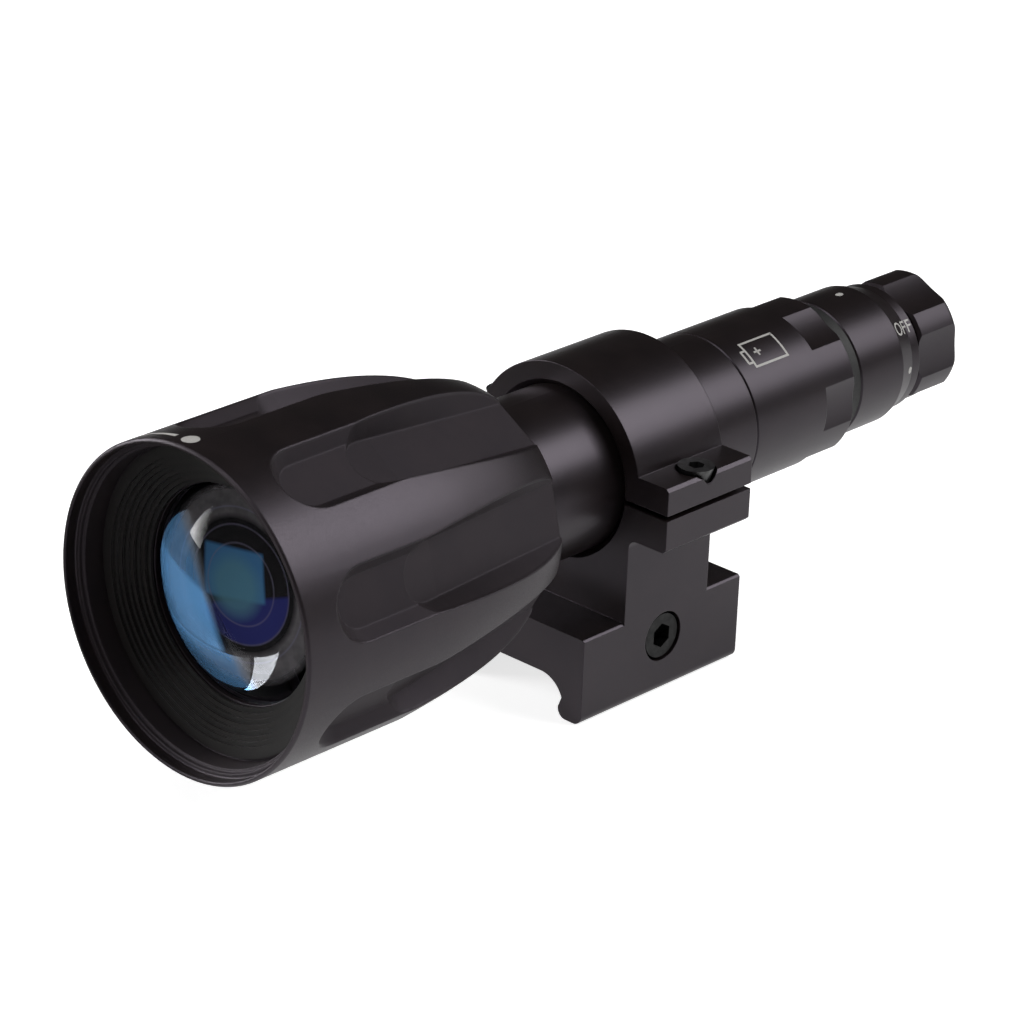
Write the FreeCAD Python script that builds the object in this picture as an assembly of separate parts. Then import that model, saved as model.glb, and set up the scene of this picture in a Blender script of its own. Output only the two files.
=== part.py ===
"""Infrared illuminator on a rail clamp, in millimetres.

The light shines towards -Y and the tube's axis runs along Y. +Z is up. The origin is the middle of the
rail seat, under the middle of the clamping ring. Outlines of turned pieces are pairs of place along the
axis and radius from it.
"""

import FreeCAD, Part
import math
import os

Vec = FreeCAD.Vector

# Clearances
PRESS_GAP = 0.02          # a pin in the hole that it is pressed into
SEAT_GAP = 0.05           # pieces that are screwed or slipped together
RUN_GAP = 0.08            # the focus thread and other turning fits
BODY_GAP = 0.3            # pieces that pass each other as they move
STOP_GAP = 0.15           # faces that meet when a moving piece is home

# Tube and ring
AXIS_HEIGHT = 32.6
TUBE_R = 15.0
EDGE_BREAK = 0.25
RING_WIDTH = 21.6
RING_R = 19.3
NECK_SHOWN = 21.4

# Head shell, outside
HEAD_LENGTH = 66.0
HEAD_R = 29.0
HEAD_REAR_R = 21.6
RIM_FACE = 0.8
RIM_BREAK = 0.35
STRAIGHT_LENGTH = 32.2
BELL_FRONT_HANDLE = 12.0
BELL_FRONT_DROP = 0.9
BELL_REAR_HANDLE = 7.3
BELL_REAR_RISE = 4.8
HEAD_REAR_BREAK = 0.5

# Grip flutes: a level pad in front, and a deeper run that falls towards the neck
FLUTES = 8
FLUTE_FIRST = -15.0
PAD_TIP = 6.9
PAD_FLOOR_H = 26.2
PAD_HALF = 4.3
PAD_WALL_LEAN = 0.95
RUN_TIP = 24.7
RUN_HALF = 4.8
RUN_FRONT_STEP = 0.5
RUN_REAR_H = 20.2
RUN_FRONT_LEAN = 0.45
RUN_REAR_LEAN = 1.0
FLUTE_CUTTER = 6.0

# Mouth of the head
MOUTH_LIP_DEPTH = 2.3
MOUTH_RING_R = 27.4
MOUTH_RING_WIDTH = 0.8
MOUTH_R = 26.9
MOUTH_DEPTH = 7.2

# Baffle ring
BAFFLE_FLANGE_R = 26.3
BAFFLE_FLANGE = 0.6
BAFFLE_FRONT_R = 25.2
BAFFLE_REAR_R = 19.0
BAFFLE_LENGTH = 3.7
BAFFLE_STEPS = 8

# Lens and its cell
LENS_R = 19.6
LENS_EDGE = 3.0
LENS_LAND = 1.0
LENS_DOME_R = 29.0
RETAINER_WIDTH = 1.0
RETAINER_R = 21.4
RETAINER_BORE = 18.8
CELL_R = 24.3
CELL_BORE = 17.0
CELL_SHOULDER = 3.5
LENS_SEAL_WIDTH = 1.0
LENS_SEAL_BORE = 18.0
KEY_R = 0.9
KEY_CENTRE_R = 18.4
KEY_DEPTH = 2.5
KEY_CLEAR = 0.1
KEY_END_ROOM = 1.0

# Head shell, inside
FOCUS_TRAVEL = 8.0
CAVITY_R = 20.5
THREAD_R = 18.0
THREAD_LENGTH = 19.0
REAR_WALL = 4.8
NECK_SEAL_WIDTH = 1.8
NECK_SEAL_DEPTH = 1.2
NECK_SEAL_SET_IN = 2.0

# Barrel inside the head, a part of the main tube
BARREL_PROUD = 2.0
LAND_STOP = 0.3
PILL_BORE = 13.0
PILL_BORE_PAST = 1.0
BATTERY_BORE = 11.0

# Heat sink, emitter and driver
FLANGE_R = 20.2
FLANGE = 2.0
PILL_LENGTH = 31.0
PILL_POCKET = 18.0
DRIVER_SET_IN = 3.0
DRIVER_BOARD = 1.6
DRIVER_LEDGE = 0.6
DRIVER_WALL = 1.95
CHIP_SIZE = 4.0
CHIP_HEIGHT = 1.5
EMITTER_BOARD_R = 8.0
EMITTER_BOARD = 1.6
EMITTER_SIZE = 7.0
EMITTER_HEIGHT = 1.2
DIE_SIZE = 3.4
DIE_HEIGHT = 0.3
BOARD_SCREW_R = 0.9
BOARD_SCREW_HEAD_R = 1.4
BOARD_SCREW_HEAD = 1.0
BOARD_SCREW_LENGTH = 5.0
BOARD_SCREW_CENTRE = 6.1
LEAD_R = 0.5
LEAD_CENTRE = 6.0
LEAD_HOLE_R = 0.9
HOLDER_R = 10.4
HOLDER_BORE = 8.2
HOLDER_SEAT = 4.6
HOLDER_WINDOW = 6.6
HOLDER_LIP = 1.4
HOLDER_FLOOR = 1.1
CONDENSER_R = 7.2
CONDENSER_EDGE = 1.0
CONDENSER_DOME_R = 9.2
CONTACT_R = 2.2
CONTACT_FOOT_R = 4.0
CONTACT_TIP_R = 3.0
CONTACT_FLANGE = 1.0
CONTACT_LENGTH = 8.4

# Battery
BATTERY_LENGTH = 70.0
BATTERY_R = 10.6
BATTERY_NUB = 1.5
BATTERY_NUB_R = 4.0
BATTERY_ROUND = 0.8

# Battery tube
JOINT_Y = 25.2
SPIGOT_R = 13.0
SPIGOT_LENGTH = 11.9
SPIGOT_ROOM = 0.3
TUBE_PAST_BATTERY = 2.8
TUBE_END_BREAK = 0.7
JOINT_SEAL_WIDTH = 1.6
JOINT_SEAL_DEPTH = 1.0
JOINT_SEAL_SET_IN = 4.0
TAIL_THREAD_R = 12.5
TAIL_THREAD_LENGTH = 10.3
TUBE_GRIPS = 6
TUBE_GRIP_FIRST = 29.0
TUBE_GRIP_LENGTH = 8.6
TUBE_GRIP_HALF_ANGLE = 16.3
TUBE_GRIP_DEPTH = 1.15

# Tail housing
TAIL_BAND_WIDTH = 3.5
TAIL_BAND_R = 12.9
TAIL_NECK_R = 12.4
TAIL_R = 13.15
TAIL_STRAIGHT = 12.0
TAIL_TAPER = 4.0
TAIL_REAR_R = 12.0
TAIL_REAR = 2.4
TAIL_WALL = 5.7
TAIL_BORE = 11.1
TAIL_BREAK = 0.3
SPIGOT_SEAL_WIDTH = 1.6
SPIGOT_SEAL_DEPTH = 0.8
SPIGOT_SEAL_SET_IN = 3.0
TAIL_TRAVEL = 30.0

# Tail contact and switch
TAIL_BOARD = 1.6
TAIL_BOARD_ROOM = 0.1
SPRING_WIRE = 0.7
SPRING_R = 5.2
SPRING_LENGTH = 6.0
SPRING_TURNS = 3.0
SWITCH_R = 9.6
SHAFT_R = 3.0
SHAFT_SET_IN = 6.0
SHAFT_IN_KNOB = 7.5
SHAFT_FLAT = 0.8
SHAFT_SEAL_R = 4.4
SHAFT_SEAL_WIDTH = 1.4
SHAFT_SEAL_SET_IN = 1.6

# Power knob
KNOB_GAP = 0.6
KNOB_LENGTH = 10.9
KNOB_R = 12.1
KNOB_FRONT_BREAK = 0.6
KNOB_REAR_ROUND = 1.2
KNOB_GRIPS = 6
KNOB_GRIP_FIRST = 25.0
KNOB_GRIP_HALF_ANGLE = 20.0
KNOB_GRIP_DEPTH = 1.15
KNOB_SCREW_HEAD_R = 2.4
KNOB_SCREW_HEAD = 1.4
KNOB_SCREW_R = 1.2
KNOB_SCREW_LENGTH = 5.0
KNOB_SCREW_SINK = 0.4

# Mount: foot, pillar, saddle and ears
FOOT_HALF_WIDTH = 17.34
FOOT_FRONT = 21.0
FOOT_REAR = 19.7
FOOT_TOP = 9.0
FOOT_BOTTOM = 7.3
FOOT_TOP_BREAK = 0.4
PILLAR_FILLET = 1.7
EAR_HALF_WIDTH = 25.7
EAR_UNDERSIDE = 7.6
SPLIT_LOW = 1.6
SPLIT_HIGH = 0.6
EAR_TOP = 4.35
EAR_BREAK = 0.6
BORE_BREAK = 1.0

# Rail slot of the foot, with the fixed jaw on +X
ROOF_HALF = 7.4
JAW_DEEPEST_X = 12.67
JAW_DEEPEST_DROP = 3.4
JAW_MID_X = 11.26
JAW_MID_DROP = 1.4
LIP_X = 11.94
LIP_DROP = 5.3
LIP_MID_X = 12.3
LIP_MID_DROP = 6.55
LIP_FLAT_X = 13.9
LIP_FLAT_END_X = 15.6
LIP_ROUND = 1.74

# Ring screws
RING_SCREW_X = 22.6
RING_SCREW_Y = -0.4
RING_SCREW_HEAD_R = 3.2
RING_SCREW_NECK_R = 2.2
RING_SCREW_HEAD = 3.7
RING_SCREW_PROUD = 0.7
RING_SCREW_R = 1.5
RING_SCREW_LENGTH = 9.2
RING_SCREW_SOCKET = 1.5
RING_SCREW_SOCKET_DEPTH = 1.8
RING_SEAT_ROOM = 0.45

# Clamp jaw and its screw
CLAMP_TRAVEL = 2.8
CLAMP_SCREW_Z = 3.4
CLAMP_SCREW_Y = -0.4
CLAMP_SCREW_R = 2.5
CLAMP_SCREW_ROOM = 0.1
CLAMP_THREAD_ROOM = 0.06
CLAMP_HEAD_R = 4.1
CLAMP_HEAD = 3.8
CLAMP_SOCKET_R = 2.3
CLAMP_SOCKET_DEPTH = 2.4
CLAMP_RECESS_R = 4.6
CLAMP_RECESS = 5.0
CLAMP_WASHER = 0.8
CLAMP_TIP_SET_IN = 2.0
JAW_GUIDE_X = 9.6
JAW_CLEAR = 0.2
JAW_TOP_GAP = 0.3
FOOT_SHELF = 3.0
GUIDE_PIN_R = 1.5
GUIDE_PIN_SPACING = 24.0
GUIDE_PIN_ENGAGED = 5.6
GUIDE_PIN_SUNK = 0.8
GUIDE_PIN_END_ROOM = 0.6

# Places that follow from the sizes above
RING_HALF = RING_WIDTH / 2
HEAD_REAR_Y = -RING_HALF - NECK_SHOWN
RIM_Y = HEAD_REAR_Y - HEAD_LENGTH
SHOULDER_Y = RIM_Y + STRAIGHT_LENGTH
BAFFLE_SEAT_Y = RIM_Y + MOUTH_DEPTH
BAFFLE_REAR_Y = BAFFLE_SEAT_Y + BAFFLE_LENGTH
CELL_FRONT_Y = BAFFLE_REAR_Y + BODY_GAP
LENS_RIM_Y = CELL_FRONT_Y + RETAINER_WIDTH
LENS_REAR_Y = LENS_RIM_Y + LENS_EDGE
CELL_SEAT_Y = LENS_REAR_Y + LENS_SEAL_WIDTH
CELL_REAR_Y = CELL_SEAT_Y + CELL_SHOULDER
CAVITY_FRONT_Y = CELL_REAR_Y + BODY_GAP
REAR_WALL_Y = HEAD_REAR_Y - REAR_WALL
THREAD_FRONT_Y = REAR_WALL_Y - THREAD_LENGTH
LAND_REAR_Y = REAR_WALL_Y - LAND_STOP
KEY_END_Y = THREAD_FRONT_Y - KEY_END_ROOM
BARREL_FRONT_Y = THREAD_FRONT_Y - BARREL_PROUD
LAND_FRONT_Y = KEY_END_Y + FOCUS_TRAVEL + BODY_GAP
FLANGE_FRONT_Y = BARREL_FRONT_Y - FLANGE
EMITTER_BOARD_Y = FLANGE_FRONT_Y - EMITTER_BOARD
HOLDER_SEAT_Y = FLANGE_FRONT_Y - HOLDER_SEAT
PILL_END_Y = BARREL_FRONT_Y + PILL_LENGTH
PILL_BORE_END_Y = PILL_END_Y + PILL_BORE_PAST
PILL_POCKET_Y = PILL_END_Y - PILL_POCKET
DRIVER_Y = PILL_END_Y - DRIVER_SET_IN
BATTERY_FRONT_Y = DRIVER_Y + DRIVER_BOARD + CONTACT_LENGTH
BATTERY_END_Y = BATTERY_FRONT_Y + BATTERY_LENGTH
TAIL_BOARD_Y = BATTERY_END_Y + SPRING_LENGTH
CELL_BORE_R = CELL_R + BODY_GAP
NECK_BORE_R = TUBE_R + BODY_GAP
TUBE_END_Y = BATTERY_END_Y + TUBE_PAST_BATTERY
TAIL_THREAD_Y = TUBE_END_Y - TAIL_THREAD_LENGTH
TAIL_SHOULDER_Y = TUBE_END_Y + TAIL_BAND_WIDTH
TAIL_TAPER_Y = TAIL_SHOULDER_Y + TAIL_STRAIGHT
TAIL_REAR_Y = TAIL_TAPER_Y + TAIL_TAPER
TAIL_END_Y = TAIL_REAR_Y + TAIL_REAR
TAIL_WALL_Y = TAIL_END_Y - TAIL_WALL
SWITCH_FRONT_Y = TAIL_BOARD_Y + TAIL_BOARD
KNOB_FRONT_Y = TAIL_END_Y + KNOB_GAP
KNOB_END_Y = KNOB_FRONT_Y + KNOB_LENGTH
SPLIT_LOW_Z = AXIS_HEIGHT - SPLIT_LOW
SPLIT_HIGH_Z = AXIS_HEIGHT - SPLIT_HIGH
EAR_TOP_Z = AXIS_HEIGHT + EAR_TOP
EAR_UNDERSIDE_Z = AXIS_HEIGHT - EAR_UNDERSIDE
JAW_INNER_X = JAW_GUIDE_X + CLAMP_TRAVEL + JAW_CLEAR
RECESS_FLOOR_X = FOOT_HALF_WIDTH - CLAMP_RECESS
ALONG = Vec(0, 1, 0)
AXIS = Vec(0, 0, AXIS_HEIGHT)


def at(y, r):
    return Vec(0, y, AXIS_HEIGHT + r)


def outline(start, *steps):
    """A closed wire of lines and arcs. A step of two numbers is a line's end, one of four an arc's middle and end."""
    edges = []
    here = start
    for step in steps + (start,):
        end = step[-2:]
        if len(step) == 4:
            edges.append(Part.Arc(at(*here), at(*step[:2]), at(*end)).toShape())
        else:
            edges.append(Part.makeLine(at(*here), at(*end)))
        here = end
    return Part.Wire(edges)


def turned(start, *steps):
    """A solid turned about the optical axis."""
    return Part.Face(outline(start, *steps)).revolve(AXIS, ALONG, 360)


def sleeve(front, rear, outer, inner):
    return turned((front, inner), (front, outer), (rear, outer), (rear, inner))


def disc(front, rear, radius):
    return Part.makeCylinder(radius, rear - front, at(front, 0), ALONG)


def spun(shape, angle):
    """A copy turned about the optical axis, from the top towards +X."""
    copy = shape.copy()
    copy.rotate(AXIS, ALONG, angle)
    return copy


def rod(front, rear, radius, centre_r, angle):
    """A round bar along the tube, its middle centre_r from the optical axis."""
    bar = Part.makeCylinder(radius, rear - front, at(front, centre_r), ALONG)
    return spun(bar, angle)


def block(x0, x1, y0, y1, z0, z1):
    return Part.makeBox(x1 - x0, y1 - y0, z1 - z0, Vec(x0, y0, z0))


def hexagon(radius, depth, base, direction):
    """A six-sided prism, radius to its corners."""
    circle = Part.makeCircle(radius, Vec(0, 0, 0), Vec(0, 0, 1))
    corners = [circle.valueAt(k * math.pi / 3) for k in range(6)]
    prism = Part.Face(Part.makePolygon(corners + corners[:1])).extrude(Vec(0, 0, depth))
    prism.Placement = FreeCAD.Placement(base, FreeCAD.Rotation(Vec(0, 0, 1), direction))
    return prism


def dome_sag(dome_r, edge_r):
    return dome_r - math.sqrt(dome_r ** 2 - edge_r ** 2)


def scallops(count, first, front, rear, outer, half_angle, depth):
    """Round-bottomed cutters along the tube, set about it."""
    half = math.radians(half_angle)
    drop = outer * math.cos(half) - (outer - depth)
    cutter_r = ((outer * math.sin(half)) ** 2 + drop ** 2) / (2 * drop)
    centre_r = outer - depth + cutter_r
    return [rod(front, rear, cutter_r, centre_r, first + 360 / count * k) for k in range(count)]


# Head


def head_blank():
    """The shell before its flutes: a bell outside, and the stepped bores for lens, cell and barrel inside."""
    bell = Part.BezierCurve()
    bell.setPoles([
        at(SHOULDER_Y, HEAD_R),
        at(SHOULDER_Y + BELL_FRONT_HANDLE, HEAD_R - BELL_FRONT_DROP),
        at(HEAD_REAR_Y - HEAD_REAR_BREAK - BELL_REAR_HANDLE, HEAD_REAR_R + BELL_REAR_RISE),
        at(HEAD_REAR_Y - HEAD_REAR_BREAK, HEAD_REAR_R),
    ])
    seal_front = HEAD_REAR_Y - NECK_SEAL_SET_IN - NECK_SEAL_WIDTH
    seal_rear = HEAD_REAR_Y - NECK_SEAL_SET_IN
    lip_end = RIM_Y + MOUTH_LIP_DEPTH
    corners = [
        (HEAD_REAR_Y - HEAD_REAR_BREAK, HEAD_REAR_R),
        (HEAD_REAR_Y, HEAD_REAR_R - HEAD_REAR_BREAK),
        (HEAD_REAR_Y, NECK_BORE_R),
        (seal_rear, NECK_BORE_R),
        (seal_rear, NECK_BORE_R + NECK_SEAL_DEPTH),
        (seal_front, NECK_BORE_R + NECK_SEAL_DEPTH),
        (seal_front, NECK_BORE_R),
        (REAR_WALL_Y, NECK_BORE_R),
        (REAR_WALL_Y, THREAD_R),
        (THREAD_FRONT_Y, THREAD_R),
        (THREAD_FRONT_Y, CAVITY_R),
        (CAVITY_FRONT_Y, CAVITY_R),
        (CAVITY_FRONT_Y, CELL_BORE_R),
        (BAFFLE_SEAT_Y, CELL_BORE_R),
        (BAFFLE_SEAT_Y, MOUTH_R),
        (lip_end + MOUTH_RING_WIDTH, MOUTH_R),
        (lip_end + MOUTH_RING_WIDTH, MOUTH_RING_R),
        (lip_end, MOUTH_RING_R),
        (lip_end, HEAD_R - RIM_FACE),
        (RIM_Y, HEAD_R - RIM_FACE),
        (RIM_Y, HEAD_R - RIM_BREAK),
        (RIM_Y + RIM_BREAK, HEAD_R),
        (SHOULDER_Y, HEAD_R),
    ]
    sides = Part.makePolygon([at(*corner) for corner in corners])
    return Part.Face(Part.Wire([bell.toShape()] + sides.Edges)).revolve(AXIS, ALONG, 360)


def round_ended(front_y, rear_y, front_half, rear_half, level):
    """A slot's outline, round in front and open behind. level gives its height at a place along the tube."""
    left = Vec(-front_half, front_y, level(front_y))
    tip = Vec(0, front_y - front_half, level(front_y - front_half))
    right = Vec(front_half, front_y, level(front_y))
    right_end = Vec(rear_half, rear_y, level(rear_y))
    left_end = Vec(-rear_half, rear_y, level(rear_y))
    return Part.Wire([
        Part.Arc(left, tip, right).toShape(),
        Part.makeLine(right, right_end),
        Part.makeLine(right_end, left_end),
        Part.makeLine(left_end, left),
    ])


def leaning_pocket(floor_front_y, floor_half, front_lean, rear_lean, level):
    """A cutter with a flat floor and walls that lean outwards, along the top of the head."""
    rear_y = HEAD_REAR_Y + FLUTE_CUTTER
    floor = round_ended(floor_front_y, rear_y, floor_half, floor_half, level)
    front_half = floor_half + FLUTE_CUTTER * front_lean
    rear_half = floor_half + FLUTE_CUTTER * rear_lean
    top = round_ended(floor_front_y, rear_y, front_half, rear_half, lambda y: level(y) + FLUTE_CUTTER)
    return Part.makeLoft([floor, top], True, True)


def flute_cutters():
    pad_depth = HEAD_R - PAD_FLOOR_H
    pad_front = RIM_Y + PAD_TIP + PAD_HALF + pad_depth * PAD_WALL_LEAN
    pad = leaning_pocket(
        pad_front, PAD_HALF, PAD_WALL_LEAN, PAD_WALL_LEAN, lambda y: AXIS_HEIGHT + PAD_FLOOR_H
    )
    run_tip = RIM_Y + RUN_TIP
    run_h = PAD_FLOOR_H - RUN_FRONT_STEP
    fall = (run_h - RUN_REAR_H) / (HEAD_REAR_Y - run_tip)
    run = leaning_pocket(
        run_tip + RUN_HALF,
        RUN_HALF,
        RUN_FRONT_LEAN,
        RUN_REAR_LEAN,
        lambda y: AXIS_HEIGHT + run_h - fall * (y - run_tip),
    )
    flute = pad.fuse(run)
    return [spun(flute, FLUTE_FIRST + 360 / FLUTES * k) for k in range(FLUTES)]


def head_shell():
    return head_blank().cut(flute_cutters())


def baffle_ring():
    """The ring behind the mouth, with fine steps that narrow to the lens and catch stray light."""
    front = BAFFLE_SEAT_Y - BAFFLE_FLANGE
    outer = CELL_BORE_R - SEAT_GAP
    step_y = (BAFFLE_REAR_Y - front) / BAFFLE_STEPS
    step_r = (BAFFLE_FRONT_R - BAFFLE_REAR_R) / BAFFLE_STEPS
    stairs = []
    for k in range(BAFFLE_STEPS):
        radius = BAFFLE_REAR_R + step_r * k
        stairs.append((BAFFLE_REAR_Y - step_y * k, radius))
        stairs.append((BAFFLE_REAR_Y - step_y * (k + 1), radius))
    return turned(
        *stairs,
        (front, BAFFLE_FLANGE_R),
        (BAFFLE_SEAT_Y, BAFFLE_FLANGE_R),
        (BAFFLE_SEAT_Y, outer),
        (BAFFLE_REAR_Y, outer),
    )


def neck_seal():
    front = HEAD_REAR_Y - NECK_SEAL_SET_IN - NECK_SEAL_WIDTH
    return sleeve(
        front + SEAT_GAP,
        front + NECK_SEAL_WIDTH - SEAT_GAP,
        NECK_BORE_R + NECK_SEAL_DEPTH - SEAT_GAP,
        TUBE_R + RUN_GAP,
    )


# Lens and its cell


def lens():
    dome_edge = LENS_R - LENS_LAND
    vertex = LENS_RIM_Y - dome_sag(LENS_DOME_R, dome_edge)
    middle_r = dome_edge / 2
    middle = vertex + dome_sag(LENS_DOME_R, middle_r)
    return turned(
        (vertex, 0),
        (middle, middle_r, LENS_RIM_Y, dome_edge),
        (LENS_RIM_Y, LENS_R),
        (LENS_REAR_Y, LENS_R),
        (LENS_REAR_Y, 0),
    )


def lens_cell():
    cell = turned(
        (CELL_FRONT_Y, RETAINER_R + SEAT_GAP),
        (CELL_FRONT_Y, CELL_R),
        (CELL_REAR_Y, CELL_R),
        (CELL_REAR_Y, CELL_BORE),
        (CELL_SEAT_Y, CELL_BORE),
        (CELL_SEAT_Y, LENS_R + SEAT_GAP),
        (LENS_RIM_Y, LENS_R + SEAT_GAP),
        (LENS_RIM_Y, RETAINER_R + SEAT_GAP),
    )
    holes = [
        rod(CELL_REAR_Y - KEY_DEPTH, CELL_REAR_Y, KEY_R + PRESS_GAP, KEY_CENTRE_R, angle)
        for angle in (0, 180)
    ]
    return cell.cut(holes)


def lens_retainer():
    return sleeve(CELL_FRONT_Y, LENS_RIM_Y, RETAINER_R, RETAINER_BORE)


def lens_seal():
    return sleeve(LENS_REAR_Y, CELL_SEAT_Y, LENS_R, LENS_SEAL_BORE)


def key_pins():
    """Two pins that keep the cell from turning as it slides."""
    front = CELL_REAR_Y - KEY_DEPTH
    return Part.makeCompound([rod(front, KEY_END_Y, KEY_R, KEY_CENTRE_R, angle) for angle in (0, 180)])


# Light source


def heat_sink():
    """The threaded pill that carries the emitter in front and the driver behind."""
    pill_r = PILL_BORE - SEAT_GAP
    driver_bore = pill_r - DRIVER_WALL
    sink = turned(
        (FLANGE_FRONT_Y, 0),
        (FLANGE_FRONT_Y, FLANGE_R),
        (BARREL_FRONT_Y, FLANGE_R),
        (BARREL_FRONT_Y, pill_r),
        (PILL_END_Y, pill_r),
        (PILL_END_Y, driver_bore),
        (DRIVER_Y, driver_bore),
        (DRIVER_Y, driver_bore - DRIVER_LEDGE),
        (PILL_POCKET_Y, driver_bore - DRIVER_LEDGE),
        (PILL_POCKET_Y, 0),
    )
    holes = [
        rod(FLANGE_FRONT_Y, BARREL_FRONT_Y, KEY_R + KEY_CLEAR, KEY_CENTRE_R, angle)
        for angle in (0, 180)
    ]
    holes += [
        rod(FLANGE_FRONT_Y, PILL_POCKET_Y, LEAD_HOLE_R, LEAD_CENTRE, angle) for angle in (90, 270)
    ]
    screw_depth = BOARD_SCREW_LENGTH - EMITTER_BOARD
    holes += [
        rod(FLANGE_FRONT_Y, FLANGE_FRONT_Y + screw_depth, BOARD_SCREW_R + SEAT_GAP, BOARD_SCREW_CENTRE, angle)
        for angle in (0, 180)
    ]
    return sink.cut(holes)


def emitter_board():
    board = disc(EMITTER_BOARD_Y, FLANGE_FRONT_Y, EMITTER_BOARD_R)
    holes = [
        rod(EMITTER_BOARD_Y, FLANGE_FRONT_Y, BOARD_SCREW_R + SEAT_GAP, BOARD_SCREW_CENTRE, angle)
        for angle in (0, 180)
    ]
    return board.cut(holes)


def square_plate(size, front, rear):
    half = size / 2
    return block(-half, half, front, rear, AXIS_HEIGHT - half, AXIS_HEIGHT + half)


def emitter():
    """A square ceramic package with a raised square die."""
    face = EMITTER_BOARD_Y - EMITTER_HEIGHT
    package = square_plate(EMITTER_SIZE, face, EMITTER_BOARD_Y)
    return package.fuse(square_plate(DIE_SIZE, face - DIE_HEIGHT, face))


def board_screws():
    screws = []
    for angle in (0, 180):
        head = rod(
            EMITTER_BOARD_Y - BOARD_SCREW_HEAD, EMITTER_BOARD_Y, BOARD_SCREW_HEAD_R, BOARD_SCREW_CENTRE, angle
        )
        shank = rod(
            EMITTER_BOARD_Y, EMITTER_BOARD_Y + BOARD_SCREW_LENGTH, BOARD_SCREW_R, BOARD_SCREW_CENTRE, angle
        )
        screws.append(head.fuse(shank))
    return Part.makeCompound(screws)


def emitter_leads():
    return Part.makeCompound([
        rod(FLANGE_FRONT_Y, DRIVER_Y, LEAD_R, LEAD_CENTRE, angle) for angle in (90, 270)
    ])


def condenser_holder():
    """A dark cup round the emitter, with a step that seats the condenser lens."""
    return turned(
        (FLANGE_FRONT_Y, HOLDER_BORE),
        (FLANGE_FRONT_Y, HOLDER_R),
        (HOLDER_SEAT_Y - HOLDER_LIP, HOLDER_R),
        (HOLDER_SEAT_Y - HOLDER_LIP, CONDENSER_R + SEAT_GAP),
        (HOLDER_SEAT_Y, CONDENSER_R + SEAT_GAP),
        (HOLDER_SEAT_Y, HOLDER_WINDOW),
        (HOLDER_SEAT_Y + HOLDER_FLOOR, HOLDER_WINDOW),
        (HOLDER_SEAT_Y + HOLDER_FLOOR, HOLDER_BORE),
    )


def condenser_lens():
    rim = HOLDER_SEAT_Y - CONDENSER_EDGE
    vertex = rim - dome_sag(CONDENSER_DOME_R, CONDENSER_R)
    middle_r = CONDENSER_R / 2
    middle = vertex + dome_sag(CONDENSER_DOME_R, middle_r)
    return turned(
        (vertex, 0),
        (middle, middle_r, rim, CONDENSER_R),
        (HOLDER_SEAT_Y, CONDENSER_R),
        (HOLDER_SEAT_Y, 0),
    )


def driver_board():
    """A round board with a driver chip and a coil on its front."""
    radius = PILL_BORE - SEAT_GAP - DRIVER_WALL - SEAT_GAP
    board = disc(DRIVER_Y, DRIVER_Y + DRIVER_BOARD, radius)
    half = CHIP_SIZE / 2
    chip = block(-half, half, DRIVER_Y - CHIP_HEIGHT, DRIVER_Y, AXIS_HEIGHT + 1, AXIS_HEIGHT + 1 + CHIP_SIZE)
    coil = rod(DRIVER_Y - CHIP_HEIGHT, DRIVER_Y, half, CHIP_SIZE, 180)
    return board.fuse([chip, coil])


def front_contact():
    """The brass stud between the driver and the battery's front end."""
    foot = DRIVER_Y + DRIVER_BOARD
    return turned(
        (foot, 0),
        (foot, CONTACT_FOOT_R),
        (foot + CONTACT_FLANGE, CONTACT_FOOT_R),
        (foot + CONTACT_FLANGE, CONTACT_R),
        (BATTERY_FRONT_Y - CONTACT_FLANGE, CONTACT_R),
        (BATTERY_FRONT_Y - CONTACT_FLANGE, CONTACT_TIP_R),
        (BATTERY_FRONT_Y, CONTACT_TIP_R),
        (BATTERY_FRONT_Y, 0),
    )


# Tube


def main_tube():
    """The barrel in the head, the neck, and the tube through the ring, turned as one."""
    land_r = THREAD_R - RUN_GAP
    return turned(
        (BARREL_FRONT_Y, PILL_BORE),
        (BARREL_FRONT_Y, TUBE_R),
        (LAND_FRONT_Y, TUBE_R),
        (LAND_FRONT_Y, land_r),
        (LAND_REAR_Y, land_r),
        (LAND_REAR_Y, TUBE_R),
        (JOINT_Y - EDGE_BREAK, TUBE_R),
        (JOINT_Y, TUBE_R - EDGE_BREAK),
        (JOINT_Y, SPIGOT_R + SEAT_GAP),
        (JOINT_Y - SPIGOT_LENGTH - SPIGOT_ROOM, SPIGOT_R + SEAT_GAP),
        (JOINT_Y - SPIGOT_LENGTH - SPIGOT_ROOM, BATTERY_BORE),
        (PILL_BORE_END_Y, BATTERY_BORE),
        (PILL_BORE_END_Y, PILL_BORE),
    )


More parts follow.
